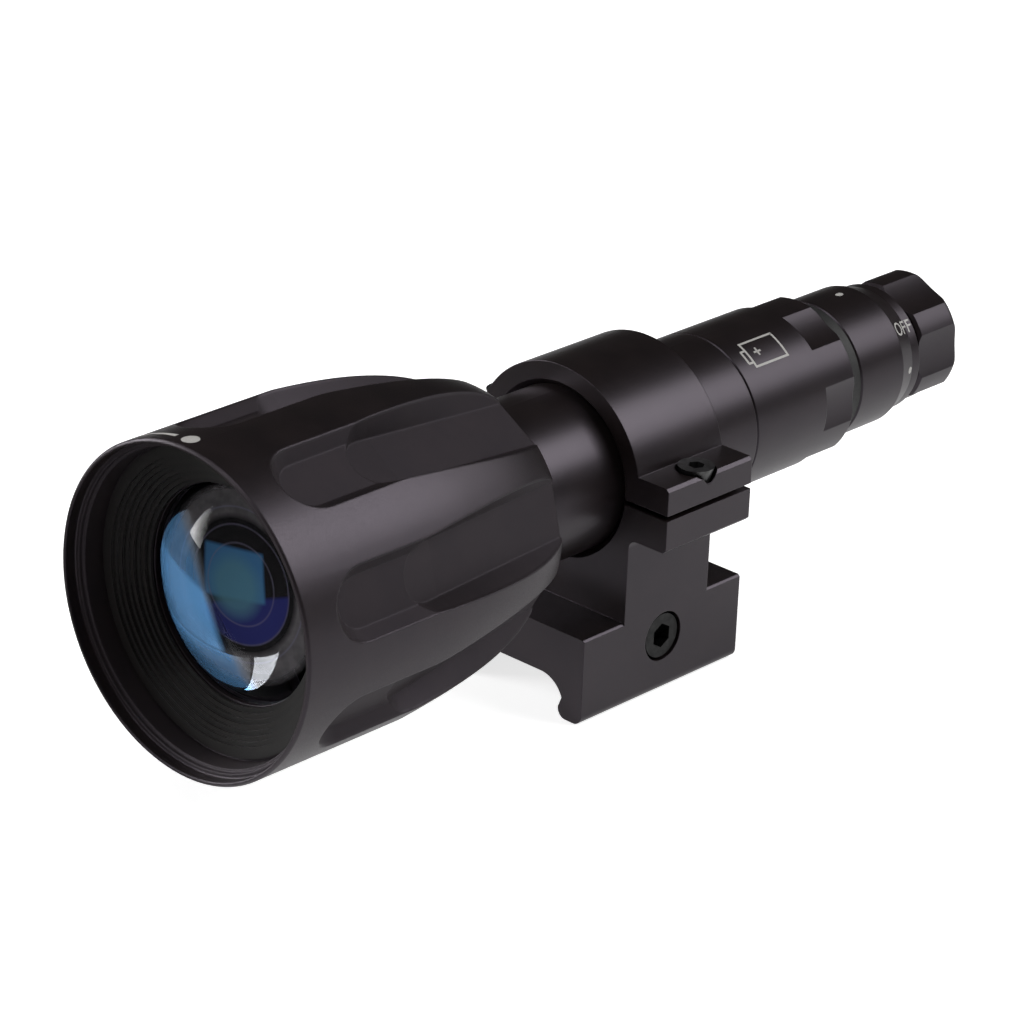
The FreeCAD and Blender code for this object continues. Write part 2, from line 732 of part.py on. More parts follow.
def battery_tube():
    spigot_front = JOINT_Y - SPIGOT_LENGTH
    groove = JOINT_Y - JOINT_SEAL_SET_IN
    tube = turned(
        (spigot_front, BATTERY_BORE),
        (spigot_front, SPIGOT_R),
        (groove - JOINT_SEAL_WIDTH, SPIGOT_R),
        (groove - JOINT_SEAL_WIDTH, SPIGOT_R - JOINT_SEAL_DEPTH),
        (groove, SPIGOT_R - JOINT_SEAL_DEPTH),
        (groove, SPIGOT_R),
        (JOINT_Y, SPIGOT_R),
        (JOINT_Y, TUBE_R - EDGE_BREAK),
        (JOINT_Y + EDGE_BREAK, TUBE_R),
        (TUBE_END_Y - TUBE_END_BREAK, TUBE_R),
        (TUBE_END_Y, TUBE_R - TUBE_END_BREAK),
        (TUBE_END_Y, TAIL_THREAD_R),
        (TAIL_THREAD_Y, TAIL_THREAD_R),
        (TAIL_THREAD_Y, BATTERY_BORE),
    )
    grips = scallops(
        TUBE_GRIPS,
        TUBE_GRIP_FIRST,
        TUBE_END_Y - TUBE_GRIP_LENGTH,
        TUBE_END_Y,
        TUBE_R,
        TUBE_GRIP_HALF_ANGLE,
        TUBE_GRIP_DEPTH,
    )
    return tube.cut(grips)


def joint_seal():
    rear = JOINT_Y - JOINT_SEAL_SET_IN
    return sleeve(
        rear - JOINT_SEAL_WIDTH + SEAT_GAP, rear - SEAT_GAP, SPIGOT_R, SPIGOT_R - JOINT_SEAL_DEPTH + SEAT_GAP
    )


def battery():
    front = BATTERY_FRONT_Y + BATTERY_NUB
    return turned(
        (BATTERY_FRONT_Y, 0),
        (BATTERY_FRONT_Y, BATTERY_NUB_R),
        (front, BATTERY_NUB_R),
        (front, BATTERY_R - BATTERY_ROUND),
        (front + BATTERY_ROUND, BATTERY_R),
        (BATTERY_END_Y - BATTERY_ROUND, BATTERY_R),
        (BATTERY_END_Y, BATTERY_R - BATTERY_ROUND),
        (BATTERY_END_Y, 0),
    )


# Tail


def tail_housing():
    """The cap that screws into the battery tube, with its spigot, neck and tapered end."""
    spigot_front = TAIL_THREAD_Y + STOP_GAP
    groove = TUBE_END_Y - SPIGOT_SEAL_SET_IN
    seal_rear = TAIL_END_Y - SHAFT_SEAL_SET_IN
    return turned(
        (spigot_front, TAIL_BORE),
        (spigot_front, TAIL_NECK_R),
        (groove - SPIGOT_SEAL_WIDTH, TAIL_NECK_R),
        (groove - SPIGOT_SEAL_WIDTH, TAIL_NECK_R - SPIGOT_SEAL_DEPTH),
        (groove, TAIL_NECK_R - SPIGOT_SEAL_DEPTH),
        (groove, TAIL_NECK_R),
        (TAIL_SHOULDER_Y, TAIL_NECK_R),
        (TAIL_SHOULDER_Y, TAIL_R - TAIL_BREAK),
        (TAIL_SHOULDER_Y + TAIL_BREAK, TAIL_R),
        (TAIL_TAPER_Y, TAIL_R),
        (TAIL_REAR_Y, TAIL_REAR_R),
        (TAIL_END_Y - TAIL_BREAK, TAIL_REAR_R),
        (TAIL_END_Y, TAIL_REAR_R - TAIL_BREAK),
        (TAIL_END_Y, SHAFT_R + RUN_GAP),
        (seal_rear, SHAFT_R + RUN_GAP),
        (seal_rear, SHAFT_SEAL_R),
        (seal_rear - SHAFT_SEAL_WIDTH, SHAFT_SEAL_R),
        (seal_rear - SHAFT_SEAL_WIDTH, SHAFT_R + RUN_GAP),
        (TAIL_WALL_Y, SHAFT_R + RUN_GAP),
        (TAIL_WALL_Y, TAIL_BORE),
    )


def tail_band():
    """The rubber ring that shows between the battery tube and the tail."""
    return sleeve(TUBE_END_Y + STOP_GAP, TAIL_SHOULDER_Y, TAIL_BAND_R, TAIL_NECK_R + PRESS_GAP)


def spigot_seal():
    rear = TUBE_END_Y - SPIGOT_SEAL_SET_IN
    return sleeve(
        rear - SPIGOT_SEAL_WIDTH + SEAT_GAP, rear - SEAT_GAP, TAIL_NECK_R, TAIL_NECK_R - SPIGOT_SEAL_DEPTH + SEAT_GAP
    )


def shaft_seal():
    rear = TAIL_END_Y - SHAFT_SEAL_SET_IN
    return sleeve(
        rear - SHAFT_SEAL_WIDTH + SEAT_GAP, rear - SEAT_GAP, SHAFT_SEAL_R - SEAT_GAP, SHAFT_R + RUN_GAP
    )


def tail_board():
    return disc(TAIL_BOARD_Y, SWITCH_FRONT_Y, TAIL_BORE - TAIL_BOARD_ROOM)


def tail_spring():
    """The coil of square wire that presses on the battery's rear end."""
    half = SPRING_WIRE / 2
    front = BATTERY_END_Y + STOP_GAP + half
    rise = TAIL_BOARD_Y - half - front
    helix = Part.makeHelix(rise / SPRING_TURNS, rise, SPRING_R)
    inner = SPRING_R - half
    outer = SPRING_R + half
    section = Part.makePolygon([
        Vec(inner, 0, -half),
        Vec(outer, 0, -half),
        Vec(outer, 0, half),
        Vec(inner, 0, half),
        Vec(inner, 0, -half),
    ])
    coil = Part.Wire(helix).makePipeShell([section], True, True)
    coil.Placement = FreeCAD.Placement(at(front, 0), FreeCAD.Rotation(Vec(0, 0, 1), ALONG))
    return coil


def rotary_switch():
    return sleeve(SWITCH_FRONT_Y, TAIL_WALL_Y, SWITCH_R, SHAFT_R + RUN_GAP)


def switch_shaft():
    """The turning shaft, with a flat where the knob sits."""
    rear = KNOB_FRONT_Y + SHAFT_IN_KNOB
    shaft = disc(TAIL_WALL_Y - SHAFT_SET_IN, rear, SHAFT_R)
    flat = block(
        -SHAFT_R, SHAFT_R, KNOB_FRONT_Y, rear, AXIS_HEIGHT + SHAFT_R - SHAFT_FLAT, AXIS_HEIGHT + SHAFT_R
    )
    thread = disc(rear - KNOB_SCREW_LENGTH, rear, KNOB_SCREW_R + SEAT_GAP)
    return shaft.cut([flat, thread])


def power_knob():
    """The switch knob, with round-bottomed finger grips between its lobes."""
    round_r = KNOB_R - KNOB_REAR_ROUND
    bend = KNOB_REAR_ROUND * math.sin(math.pi / 4)
    sink_y = KNOB_END_Y - KNOB_SCREW_HEAD - KNOB_SCREW_SINK
    bore_r = SHAFT_R + SEAT_GAP
    bore_end = KNOB_FRONT_Y + SHAFT_IN_KNOB + SEAT_GAP
    screw_bore = KNOB_SCREW_R + SEAT_GAP
    knob = turned(
        (KNOB_FRONT_Y, bore_r),
        (KNOB_FRONT_Y, KNOB_R - KNOB_FRONT_BREAK),
        (KNOB_FRONT_Y + KNOB_FRONT_BREAK, KNOB_R),
        (KNOB_END_Y - KNOB_REAR_ROUND, KNOB_R),
        (KNOB_END_Y - KNOB_REAR_ROUND + bend, round_r + bend, KNOB_END_Y, round_r),
        (KNOB_END_Y, KNOB_SCREW_HEAD_R + SEAT_GAP),
        (sink_y, KNOB_SCREW_HEAD_R + SEAT_GAP),
        (sink_y, screw_bore),
        (bore_end, screw_bore),
        (bore_end, bore_r),
    )
    grips = scallops(
        KNOB_GRIPS, KNOB_GRIP_FIRST, KNOB_FRONT_Y, KNOB_END_Y, KNOB_R, KNOB_GRIP_HALF_ANGLE, KNOB_GRIP_DEPTH
    )
    flat_z = AXIS_HEIGHT + SHAFT_R - SHAFT_FLAT + SEAT_GAP
    key = block(-bore_r, bore_r, KNOB_FRONT_Y, bore_end, flat_z, AXIS_HEIGHT + bore_r)
    return knob.cut(grips).fuse(key).removeSplitter()


def knob_screw():
    head_front = KNOB_END_Y - KNOB_SCREW_HEAD - KNOB_SCREW_SINK
    head = disc(head_front, head_front + KNOB_SCREW_HEAD, KNOB_SCREW_HEAD_R)
    tip = KNOB_FRONT_Y + SHAFT_IN_KNOB - KNOB_SCREW_LENGTH + SPIGOT_ROOM
    shank = disc(tip, head_front, KNOB_SCREW_R)
    socket_r = KNOB_SCREW_HEAD_R / 2
    socket = hexagon(socket_r, KNOB_SCREW_HEAD, at(head_front + KNOB_SCREW_HEAD / 2, 0), ALONG)
    return head.fuse(shank).cut(socket)


# Mount


def across(points, y0, y1):
    """A solid whose outline in X and Z runs along Y. A point of four numbers ends an arc through its first two."""
    edges = []
    here = points[-1][-2:]
    for point in points:
        start = Vec(here[0], y0, here[1])
        end = Vec(point[-2], y0, point[-1])
        if len(point) == 4:
            edges.append(Part.Arc(start, Vec(point[0], y0, point[1]), end).toShape())
        else:
            edges.append(Part.makeLine(start, end))
        here = point[-2:]
    return Part.Face(Part.Wire(edges)).extrude(Vec(0, y1 - y0, 0))


def jaw_curve(side):
    """The clamping groove and lip from the seat's roof down to the lip's outer face, on one side."""
    bend = LIP_ROUND * (1 - math.sin(math.pi / 4))
    outer = FOOT_HALF_WIDTH
    return [
        (side * JAW_MID_X, -JAW_MID_DROP, side * JAW_DEEPEST_X, -JAW_DEEPEST_DROP),
        (side * LIP_X, -LIP_DROP),
        (side * LIP_MID_X, -LIP_MID_DROP, side * LIP_FLAT_X, -FOOT_BOTTOM),
        (side * LIP_FLAT_END_X, -FOOT_BOTTOM),
        (side * (outer - bend), bend - FOOT_BOTTOM, side * outer, LIP_ROUND - FOOT_BOTTOM),
    ]


def foot():
    shelf_z = FOOT_TOP - FOOT_SHELF
    points = [
        (-JAW_GUIDE_X, 0),
        (ROOF_HALF, 0),
        *jaw_curve(1),
        (FOOT_HALF_WIDTH, FOOT_TOP - FOOT_TOP_BREAK),
        (FOOT_HALF_WIDTH - FOOT_TOP_BREAK, FOOT_TOP),
        (FOOT_TOP_BREAK - FOOT_HALF_WIDTH, FOOT_TOP),
        (-FOOT_HALF_WIDTH, FOOT_TOP - FOOT_TOP_BREAK),
        (-FOOT_HALF_WIDTH, shelf_z),
        (-JAW_GUIDE_X, shelf_z),
    ]
    return across(points, -FOOT_FRONT, FOOT_REAR)


def pillar_and_ears():
    """The upright block with the lower ears, before the tube's bore."""
    bend = PILLAR_FILLET * (1 - math.sin(math.pi / 4))
    side = FOOT_HALF_WIDTH
    ear = EAR_HALF_WIDTH
    right = [
        (side, EAR_UNDERSIDE_Z - PILLAR_FILLET),
        (side + bend, EAR_UNDERSIDE_Z - bend, side + PILLAR_FILLET, EAR_UNDERSIDE_Z),
        (ear - EAR_BREAK, EAR_UNDERSIDE_Z),
        (ear, EAR_UNDERSIDE_Z + EAR_BREAK),
        (ear, SPLIT_LOW_Z),
    ]
    left = [
        (-ear, SPLIT_LOW_Z),
        (-ear, EAR_UNDERSIDE_Z + EAR_BREAK),
        (EAR_BREAK - ear, EAR_UNDERSIDE_Z),
        (-side - PILLAR_FILLET, EAR_UNDERSIDE_Z),
        (-side - bend, EAR_UNDERSIDE_Z - bend, -side, EAR_UNDERSIDE_Z - PILLAR_FILLET),
    ]
    base = FOOT_TOP - FOOT_SHELF
    return across([(-side, base), (side, base), *right, *left], -RING_HALF, RING_HALF)


def ring_bore():
    """The clamped bore with a chamfer at each end."""
    radius = TUBE_R + SEAT_GAP
    return turned(
        (-RING_HALF, 0),
        (-RING_HALF, radius + BORE_BREAK),
        (-RING_HALF + BORE_BREAK, radius),
        (RING_HALF - BORE_BREAK, radius),
        (RING_HALF, radius + BORE_BREAK),
        (RING_HALF, 0),
    )


def upright(radius, bottom, top, x, y):
    return Part.makeCylinder(radius, top - bottom, Vec(x, y, bottom), Vec(0, 0, 1))


def crossways(radius, x0, x1, y, z):
    return Part.makeCylinder(radius, x1 - x0, Vec(x0, y, z), Vec(1, 0, 0))


def guide_pin_places():
    return [CLAMP_SCREW_Y - GUIDE_PIN_SPACING / 2, CLAMP_SCREW_Y + GUIDE_PIN_SPACING / 2]


def mount_base():
    """Foot, pillar and lower half of the ring, milled from one block."""
    base = foot().fuse(pillar_and_ears())
    screw_bottom = EAR_TOP_Z + RING_SCREW_PROUD - RING_SCREW_HEAD - RING_SCREW_LENGTH
    cuts = [ring_bore()]
    for x in (-RING_SCREW_X, RING_SCREW_X):
        cuts.append(upright(RING_SCREW_R + SEAT_GAP, screw_bottom - BODY_GAP, SPLIT_LOW_Z, x, RING_SCREW_Y))
    cuts.append(
        crossways(CLAMP_RECESS_R, RECESS_FLOOR_X, FOOT_HALF_WIDTH, CLAMP_SCREW_Y, CLAMP_SCREW_Z)
    )
    cuts.append(
        crossways(
            CLAMP_SCREW_R + CLAMP_SCREW_ROOM, -JAW_GUIDE_X, RECESS_FLOOR_X, CLAMP_SCREW_Y, CLAMP_SCREW_Z
        )
    )
    pin_room = GUIDE_PIN_ENGAGED + CLAMP_TRAVEL + GUIDE_PIN_END_ROOM - JAW_GUIDE_X
    for y in guide_pin_places():
        cuts.append(crossways(GUIDE_PIN_R + RUN_GAP, -JAW_GUIDE_X, pin_room, y, CLAMP_SCREW_Z))
    return base.cut(cuts).removeSplitter()


def screw_seat(x):
    """The tapered seat of a ring screw, which breaks out through the ear's side."""
    bottom = EAR_TOP_Z + RING_SCREW_PROUD - RING_SCREW_HEAD
    neck = RING_SCREW_NECK_R + RING_SEAT_ROOM
    top = RING_SCREW_HEAD_R + RING_SEAT_ROOM
    depth = EAR_TOP_Z - bottom
    cone = Part.makeCone(neck, top, depth, Vec(x, RING_SCREW_Y, bottom), Vec(0, 0, 1))
    hole = upright(RING_SCREW_R + RING_SEAT_ROOM, SPLIT_HIGH_Z, bottom, x, RING_SCREW_Y)
    return cone.fuse(hole)


def ring_cap():
    """The upper half of the ring, with an ear on each side."""
    side = math.sqrt(RING_R ** 2 - SPLIT_HIGH ** 2)
    half = across(
        [(-side, SPLIT_HIGH_Z), (0, AXIS_HEIGHT + RING_R, side, SPLIT_HIGH_Z)], -RING_HALF, RING_HALF
    )
    ear = EAR_HALF_WIDTH
    ears = across(
        [
            (-ear, SPLIT_HIGH_Z),
            (ear, SPLIT_HIGH_Z),
            (ear, EAR_TOP_Z - EAR_BREAK),
            (ear - EAR_BREAK, EAR_TOP_Z),
            (EAR_BREAK - ear, EAR_TOP_Z),
            (-ear, EAR_TOP_Z - EAR_BREAK),
        ],
        -RING_HALF,
        RING_HALF,
    )
    cap = half.fuse(ears).removeSplitter()
    return cap.cut([ring_bore(), screw_seat(-RING_SCREW_X), screw_seat(RING_SCREW_X)])


def ring_screws():
    """Two screws with tapered heads and hexagon sockets."""
    screws = []
    top = EAR_TOP_Z + RING_SCREW_PROUD
    bottom = top - RING_SCREW_HEAD
    for x in (-RING_SCREW_X, RING_SCREW_X):
        base = Vec(x, RING_SCREW_Y, bottom)
        head = Part.makeCone(RING_SCREW_NECK_R, RING_SCREW_HEAD_R, RING_SCREW_HEAD, base, Vec(0, 0, 1))
        shank = upright(RING_SCREW_R, bottom - RING_SCREW_LENGTH, bottom, x, RING_SCREW_Y)
        socket_base = Vec(x, RING_SCREW_Y, top - RING_SCREW_SOCKET_DEPTH)
        socket = hexagon(RING_SCREW_SOCKET, RING_SCREW_SOCKET_DEPTH, socket_base, Vec(0, 0, 1))
        screws.append(head.fuse(shank).cut(socket))
    return Part.makeCompound(screws)


# Rail clamp


def clamp_jaw():
    """The moving jaw plate, pulled along its guide pins towards the fixed jaw."""
    top = FOOT_TOP - FOOT_SHELF - JAW_TOP_GAP
    points = [
        (-JAW_INNER_X, -JAW_DEEPEST_DROP),
        *jaw_curve(-1)[1:],
        (-FOOT_HALF_WIDTH, top),
        (-JAW_INNER_X, top),
    ]
    plate = across(points, -FOOT_FRONT, FOOT_REAR)
    holes = [
        crossways(
            CLAMP_SCREW_R + CLAMP_THREAD_ROOM, -FOOT_HALF_WIDTH, -JAW_INNER_X, CLAMP_SCREW_Y, CLAMP_SCREW_Z
        )
    ]
    for y in guide_pin_places():
        holes.append(
            crossways(GUIDE_PIN_R + PRESS_GAP, -FOOT_HALF_WIDTH, -JAW_INNER_X, y, CLAMP_SCREW_Z)
        )
    return plate.cut(holes)


def guide_pins():
    """Two pins pressed into the jaw, which slide in the foot."""
    start = GUIDE_PIN_SUNK - FOOT_HALF_WIDTH
    end = GUIDE_PIN_ENGAGED - JAW_GUIDE_X
    return Part.makeCompound([
        crossways(GUIDE_PIN_R, start, end, y, CLAMP_SCREW_Z) for y in guide_pin_places()
    ])


def clamp_washer():
    washer = crossways(CLAMP_HEAD_R, RECESS_FLOOR_X, RECESS_FLOOR_X + CLAMP_WASHER, CLAMP_SCREW_Y, CLAMP_SCREW_Z)
    hole = crossways(
        CLAMP_SCREW_R + CLAMP_SCREW_ROOM,
        RECESS_FLOOR_X,
        RECESS_FLOOR_X + CLAMP_WASHER,
        CLAMP_SCREW_Y,
        CLAMP_SCREW_Z,
    )
    return washer.cut(hole)


def clamp_screw():
    head_x = RECESS_FLOOR_X + CLAMP_WASHER + SEAT_GAP
    head = crossways(CLAMP_HEAD_R, head_x, head_x + CLAMP_HEAD, CLAMP_SCREW_Y, CLAMP_SCREW_Z)
    tip_x = CLAMP_TIP_SET_IN - FOOT_HALF_WIDTH
    shank = crossways(CLAMP_SCREW_R, tip_x, head_x, CLAMP_SCREW_Y, CLAMP_SCREW_Z)
    socket_base = Vec(head_x + CLAMP_HEAD - CLAMP_SOCKET_DEPTH, CLAMP_SCREW_Y, CLAMP_SCREW_Z)
    socket = hexagon(CLAMP_SOCKET_R, CLAMP_SOCKET_DEPTH, socket_base, Vec(1, 0, 0))
    return head.fuse(shank).cut(socket)


PIECES = [
    head_shell,
    baffle_ring,
    neck_seal,
    lens,
    lens_cell,
    lens_retainer,
    lens_seal,
    key_pins,
    heat_sink,
    emitter_board,
    emitter,
    board_screws,
    emitter_leads,
    condenser_holder,
    condenser_lens,
    driver_board,
    front_contact,
    main_tube,
    battery_tube,
    joint_seal,
    battery,
    tail_housing,
    tail_band,
    spigot_seal,
    shaft_seal,
    tail_board,
    tail_spring,
    rotary_switch,
    switch_shaft,
    power_knob,
    knob_screw,
    mount_base,
    ring_cap,
    ring_screws,
    clamp_jaw,
    guide_pins,
    clamp_washer,
    clamp_screw,
]


def main():
    os.makedirs("parts", exist_ok=True)
    for piece in PIECES:
        shape = piece()
        shape.exportStep("parts/" + piece.__name__ + ".step")


main()
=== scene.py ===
"""Looks of the infrared illuminator: finishes, lens, printed marks and studio."""

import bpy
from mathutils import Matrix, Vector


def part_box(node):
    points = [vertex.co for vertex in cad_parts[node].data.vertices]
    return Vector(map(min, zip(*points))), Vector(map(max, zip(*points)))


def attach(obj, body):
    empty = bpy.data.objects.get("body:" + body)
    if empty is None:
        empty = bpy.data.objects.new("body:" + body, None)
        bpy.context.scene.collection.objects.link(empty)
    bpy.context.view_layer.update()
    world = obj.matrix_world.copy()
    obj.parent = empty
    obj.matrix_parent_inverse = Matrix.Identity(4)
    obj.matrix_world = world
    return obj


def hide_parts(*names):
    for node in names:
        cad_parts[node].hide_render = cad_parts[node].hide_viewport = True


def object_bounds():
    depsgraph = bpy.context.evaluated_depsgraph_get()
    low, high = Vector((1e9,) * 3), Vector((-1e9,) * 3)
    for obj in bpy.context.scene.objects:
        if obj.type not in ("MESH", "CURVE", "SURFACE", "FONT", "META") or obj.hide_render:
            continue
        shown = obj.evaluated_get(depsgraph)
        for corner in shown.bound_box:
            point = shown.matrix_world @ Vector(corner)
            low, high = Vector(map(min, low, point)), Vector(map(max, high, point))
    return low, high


bl_info = {
    "name": "Infrared illuminator looks",
    "version": (1, 0, 0),
    "blender": (4, 5, 0),
    "location": "View3D > Sidebar > Illuminator",
    "description": "Finishes, lens, printed marks and studio for the infrared illuminator",
    "category": "Object",
}

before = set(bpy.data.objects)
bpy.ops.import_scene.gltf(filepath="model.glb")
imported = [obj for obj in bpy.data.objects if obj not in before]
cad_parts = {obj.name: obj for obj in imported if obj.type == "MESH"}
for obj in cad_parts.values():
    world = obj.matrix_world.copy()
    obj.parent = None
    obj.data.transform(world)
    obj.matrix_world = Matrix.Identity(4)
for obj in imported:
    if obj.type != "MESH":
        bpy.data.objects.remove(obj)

import math

import bpy
from mathutils import Matrix, Vector

CAD_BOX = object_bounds()
MM = 0.001
TUBE_LOW, TUBE_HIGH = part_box("main_tube")
AXIS_Z = (TUBE_LOW.z + TUBE_HIGH.z) / 2
HOT = (1.0, 1.0, 1.0, 1.0)
HEAD_BREAK_Y = -0.066
HEAD_BREAK_LEAN = math.radians(4.5)
VIEW_X = 0.8
VIEW_Z = 1.6
CARD_TURN = -71.0
CARD_HALF_ANGLE = 34.0


# Settings


class IlluminatorFinish(bpy.types.PropertyGroup):
    black: bpy.props.FloatVectorProperty(
        name="Black", description="Colour of the anodised metal", subtype="COLOR", size=3, min=0, max=1,
        default=(0.0082, 0.0057, 0.0054),
    )
    satin: bpy.props.FloatProperty(
        name="Satin", description="Roughness of the turned outside", min=0, max=1, default=0.36,
    )
    blasted: bpy.props.FloatProperty(
        name="Blasted", description="Roughness of the head and the mount", min=0, max=1, default=0.4,
    )
    edge_round: bpy.props.FloatProperty(
        name="Edge round", description="Radius that the light sees on a broken edge", subtype="DISTANCE",
        unit="LENGTH", min=0, default=0.00022,
    )
    flute_round: bpy.props.FloatProperty(
        name="Flute round", description="Radius that the light sees on the head's edges and inner corners",
        subtype="DISTANCE", unit="LENGTH", min=0, default=0.0005,
    )
    print_white: bpy.props.FloatVectorProperty(
        name="Print", description="Colour of the printed marks", subtype="COLOR", size=3, min=0, max=1,
        default=(0.46, 0.45, 0.43),
    )
    coating: bpy.props.FloatVectorProperty(
        name="Coating", description="Colour that the lens coating reflects", subtype="COLOR", size=3, min=0, max=1,
        default=(0.18, 0.48, 0.9),
    )


class IlluminatorMarks(bpy.types.PropertyGroup):
    word_height: bpy.props.FloatProperty(
        name="Word height", description="Height of the word at the switch", subtype="DISTANCE", unit="LENGTH",
        min=0.0005, default=0.0027,
    )
    line_width: bpy.props.FloatProperty(
        name="Line width", description="Width of the pictogram's lines", subtype="DISTANCE", unit="LENGTH",
        min=0.0001, default=0.00045,
    )
    proud: bpy.props.FloatProperty(
        name="Print thickness", description="How far the print stands on the metal", subtype="DISTANCE",
        unit="LENGTH", min=0.00001, default=0.00003,
    )
    dot: bpy.props.FloatProperty(
        name="Focus dot", description="Diameter of the dot on the head", subtype="DISTANCE", unit="LENGTH",
        min=0.0005, default=0.0031,
    )


class IlluminatorStudio(bpy.types.PropertyGroup):
    azimuth: bpy.props.FloatProperty(
        name="Azimuth", description="Camera's turn round the object", subtype="ANGLE", default=math.radians(42.5),
    )
    elevation: bpy.props.FloatProperty(
        name="Elevation", description="Camera's height above the horizon", subtype="ANGLE",
        default=math.radians(24.0),
    )
    roll: bpy.props.FloatProperty(
        name="Roll", description="Camera's lean", subtype="ANGLE", default=math.radians(2.34),
    )
    camera_at: bpy.props.FloatVectorProperty(
        name="Camera", description="Camera's place", subtype="TRANSLATION", unit="LENGTH", size=3,
        default=(0.46025, -0.52395, 0.33094),
    )
    lens_mm: bpy.props.FloatProperty(
        name="Focal length", description="Camera's focal length in millimetres", min=10, default=153.1,
    )


# Node helpers


def blank_material(name):
    """A material with only its output node."""
    material = bpy.data.materials.new(name)
    material.use_nodes = True
    tree = material.node_tree
    tree.nodes.clear()
    tree.nodes.new("ShaderNodeOutputMaterial")
    return material, tree


def add_node(tree, kind, links=None, **values):
    """A node with its inputs set by name and linked from other sockets."""
    node = tree.nodes.new(kind)
    for key, value in values.items():
        setattr(node, key, value)
    for key, value in (links or {}).items():
        if isinstance(value, bpy.types.NodeSocket):
            tree.links.new(value, node.inputs[key])
        else:
            node.inputs[key].default_value = value
    return node


def calc(tree, operation, first, second=0.0, third=0.0):
    """The result of one Math node, from sockets or numbers."""
    return add_node(
        tree, "ShaderNodeMath", {0: first, 1: second, 2: third}, operation=operation
    ).outputs[0]


def colour4(rgb):
    return (rgb[0], rgb[1], rgb[2], 1.0)


def object_place(tree):
    return add_node(tree, "ShaderNodeTexCoord").outputs["Object"]


def noise(tree, scale, detail=3.0, place=None):
    return add_node(
        tree, "ShaderNodeTexNoise", {"Vector": place or object_place(tree), "Scale": scale, "Detail": detail}
    ).outputs["Fac"]


def spread(tree, value, low, high, start=0.35, end=0.65):
    """Maps the middle of a noise onto a range."""
    return add_node(
        tree, "ShaderNodeMapRange",
        {"Value": value, "From Min": start, "From Max": end, "To Min": low, "To Max": high},
    ).outputs["Result"]


def blend_colours(tree, factor, low, high):
    """Two colours, each a socket or three numbers, mixed by a socket."""
    ends = {
        6 + i: end if isinstance(end, bpy.types.NodeSocket) else colour4(end) for i, end in enumerate((low, high))
    }
    return add_node(tree, "ShaderNodeMix", {"Factor": factor, **ends}, data_type="RGBA").outputs[2]


def finish_surface(tree, shader):
    output = next(n for n in tree.nodes if n.type == "OUTPUT_MATERIAL")
    tree.links.new(shader, output.inputs["Surface"])


def outline_of(node):
    """A node's outer radius along the tube, as pairs of place and radius in shares of its box: a hull of its corners."""
    low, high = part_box(node)
    length = high.y - low.y
    widest = (high.x - low.x) / 2
    spots = sorted(
        ((v.co.y - low.y) / length, math.hypot(v.co.x, v.co.z - AXIS_Z) / widest)
        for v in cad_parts[node].data.vertices
    )
    hull = []
    for spot in spots:
        while len(hull) > 1 and (
            (hull[-1][0] - hull[-2][0]) * (spot[1] - hull[-2][1]) >= (hull[-1][1] - hull[-2][1]) * (spot[0] - hull[-2][0])
        ):
            hull.pop()
        hull.append(spot)
    spaced = [hull[0]]
    for spot in hull[1:]:
        if spot[0] - spaced[-1][0] > 0.008:
            spaced.append(spot)
    return spaced


def milled_share(tree, node, place, start=0.00025, end=0.0006):
    """0 on a turned outside and 1 where the surface is milled below it."""
    low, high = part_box(node)
    widest = (high.x - low.x) / 2
    parts = add_node(tree, "ShaderNodeSeparateXYZ", {"Vector": place}).outputs
    along = add_node(
        tree, "ShaderNodeMapRange", {"Value": parts["Y"], "From Min": low.y, "From Max": high.y}
    ).outputs["Result"]
    curve = add_node(tree, "ShaderNodeFloatCurve", {"Value": along})
    points = curve.mapping.curves[0].points
    outline = outline_of(node)
    points[0].location = outline[0]
    points[1].location = outline[-1]
    for point in outline[1:-1]:
        points.new(*point)
    for point in points:
        point.handle_type = "VECTOR"
    curve.mapping.update()
    drop = add_node(tree, "ShaderNodeMath", operation="SUBTRACT")
    flat = add_node(tree, "ShaderNodeCombineXYZ", {"X": parts["X"]})
    lift = add_node(tree, "ShaderNodeMath", operation="SUBTRACT")
    tree.links.new(parts["Z"], lift.inputs[0])
    lift.inputs[1].default_value = AXIS_Z
    tree.links.new(lift.outputs[0], flat.inputs["Z"])
    radius = add_node(tree, "ShaderNodeVectorMath", operation="LENGTH")
    tree.links.new(flat.outputs[0], radius.inputs[0])
    full = add_node(tree, "ShaderNodeMath", operation="MULTIPLY")
    tree.links.new(curve.outputs[0], full.inputs[0])
    full.inputs[1].default_value = widest
    tree.links.new(full.outputs[0], drop.inputs[0])
    tree.links.new(radius.outputs["Value"], drop.inputs[1])
    return add_node(
        tree, "ShaderNodeMapRange", {"Value": drop.outputs[0], "From Min": start, "From Max": end}
    ).outputs["Result"]


def blended_break(tree, normal, place, at, lean, width):
    """Tilts a surface's normal on both sides of a turned break, so that the break shades as one curve."""
    y = add_node(tree, "ShaderNodeSeparateXYZ", {"Vector": place}).outputs["Y"]
    away = calc(tree, "MULTIPLY_ADD", y, 1 / width, -at / width)
    near = calc(tree, "MAXIMUM", calc(tree, "SUBTRACT", 1.0, calc(tree, "ABSOLUTE", away)), 0.0)
    tilt = calc(tree, "MULTIPLY", near, calc(tree, "SIGN", away))
    tilt = calc(tree, "MULTIPLY", tilt, -math.tan(lean / 2))
    bend = add_node(tree, "ShaderNodeCombineXYZ", {"Y": tilt}).outputs[0]
    bent = add_node(tree, "ShaderNodeVectorMath", {0: normal, 1: bend}, operation="ADD").outputs["Vector"]
    return add_node(tree, "ShaderNodeVectorMath", {0: bent}, operation="NORMALIZE").outputs["Vector"]


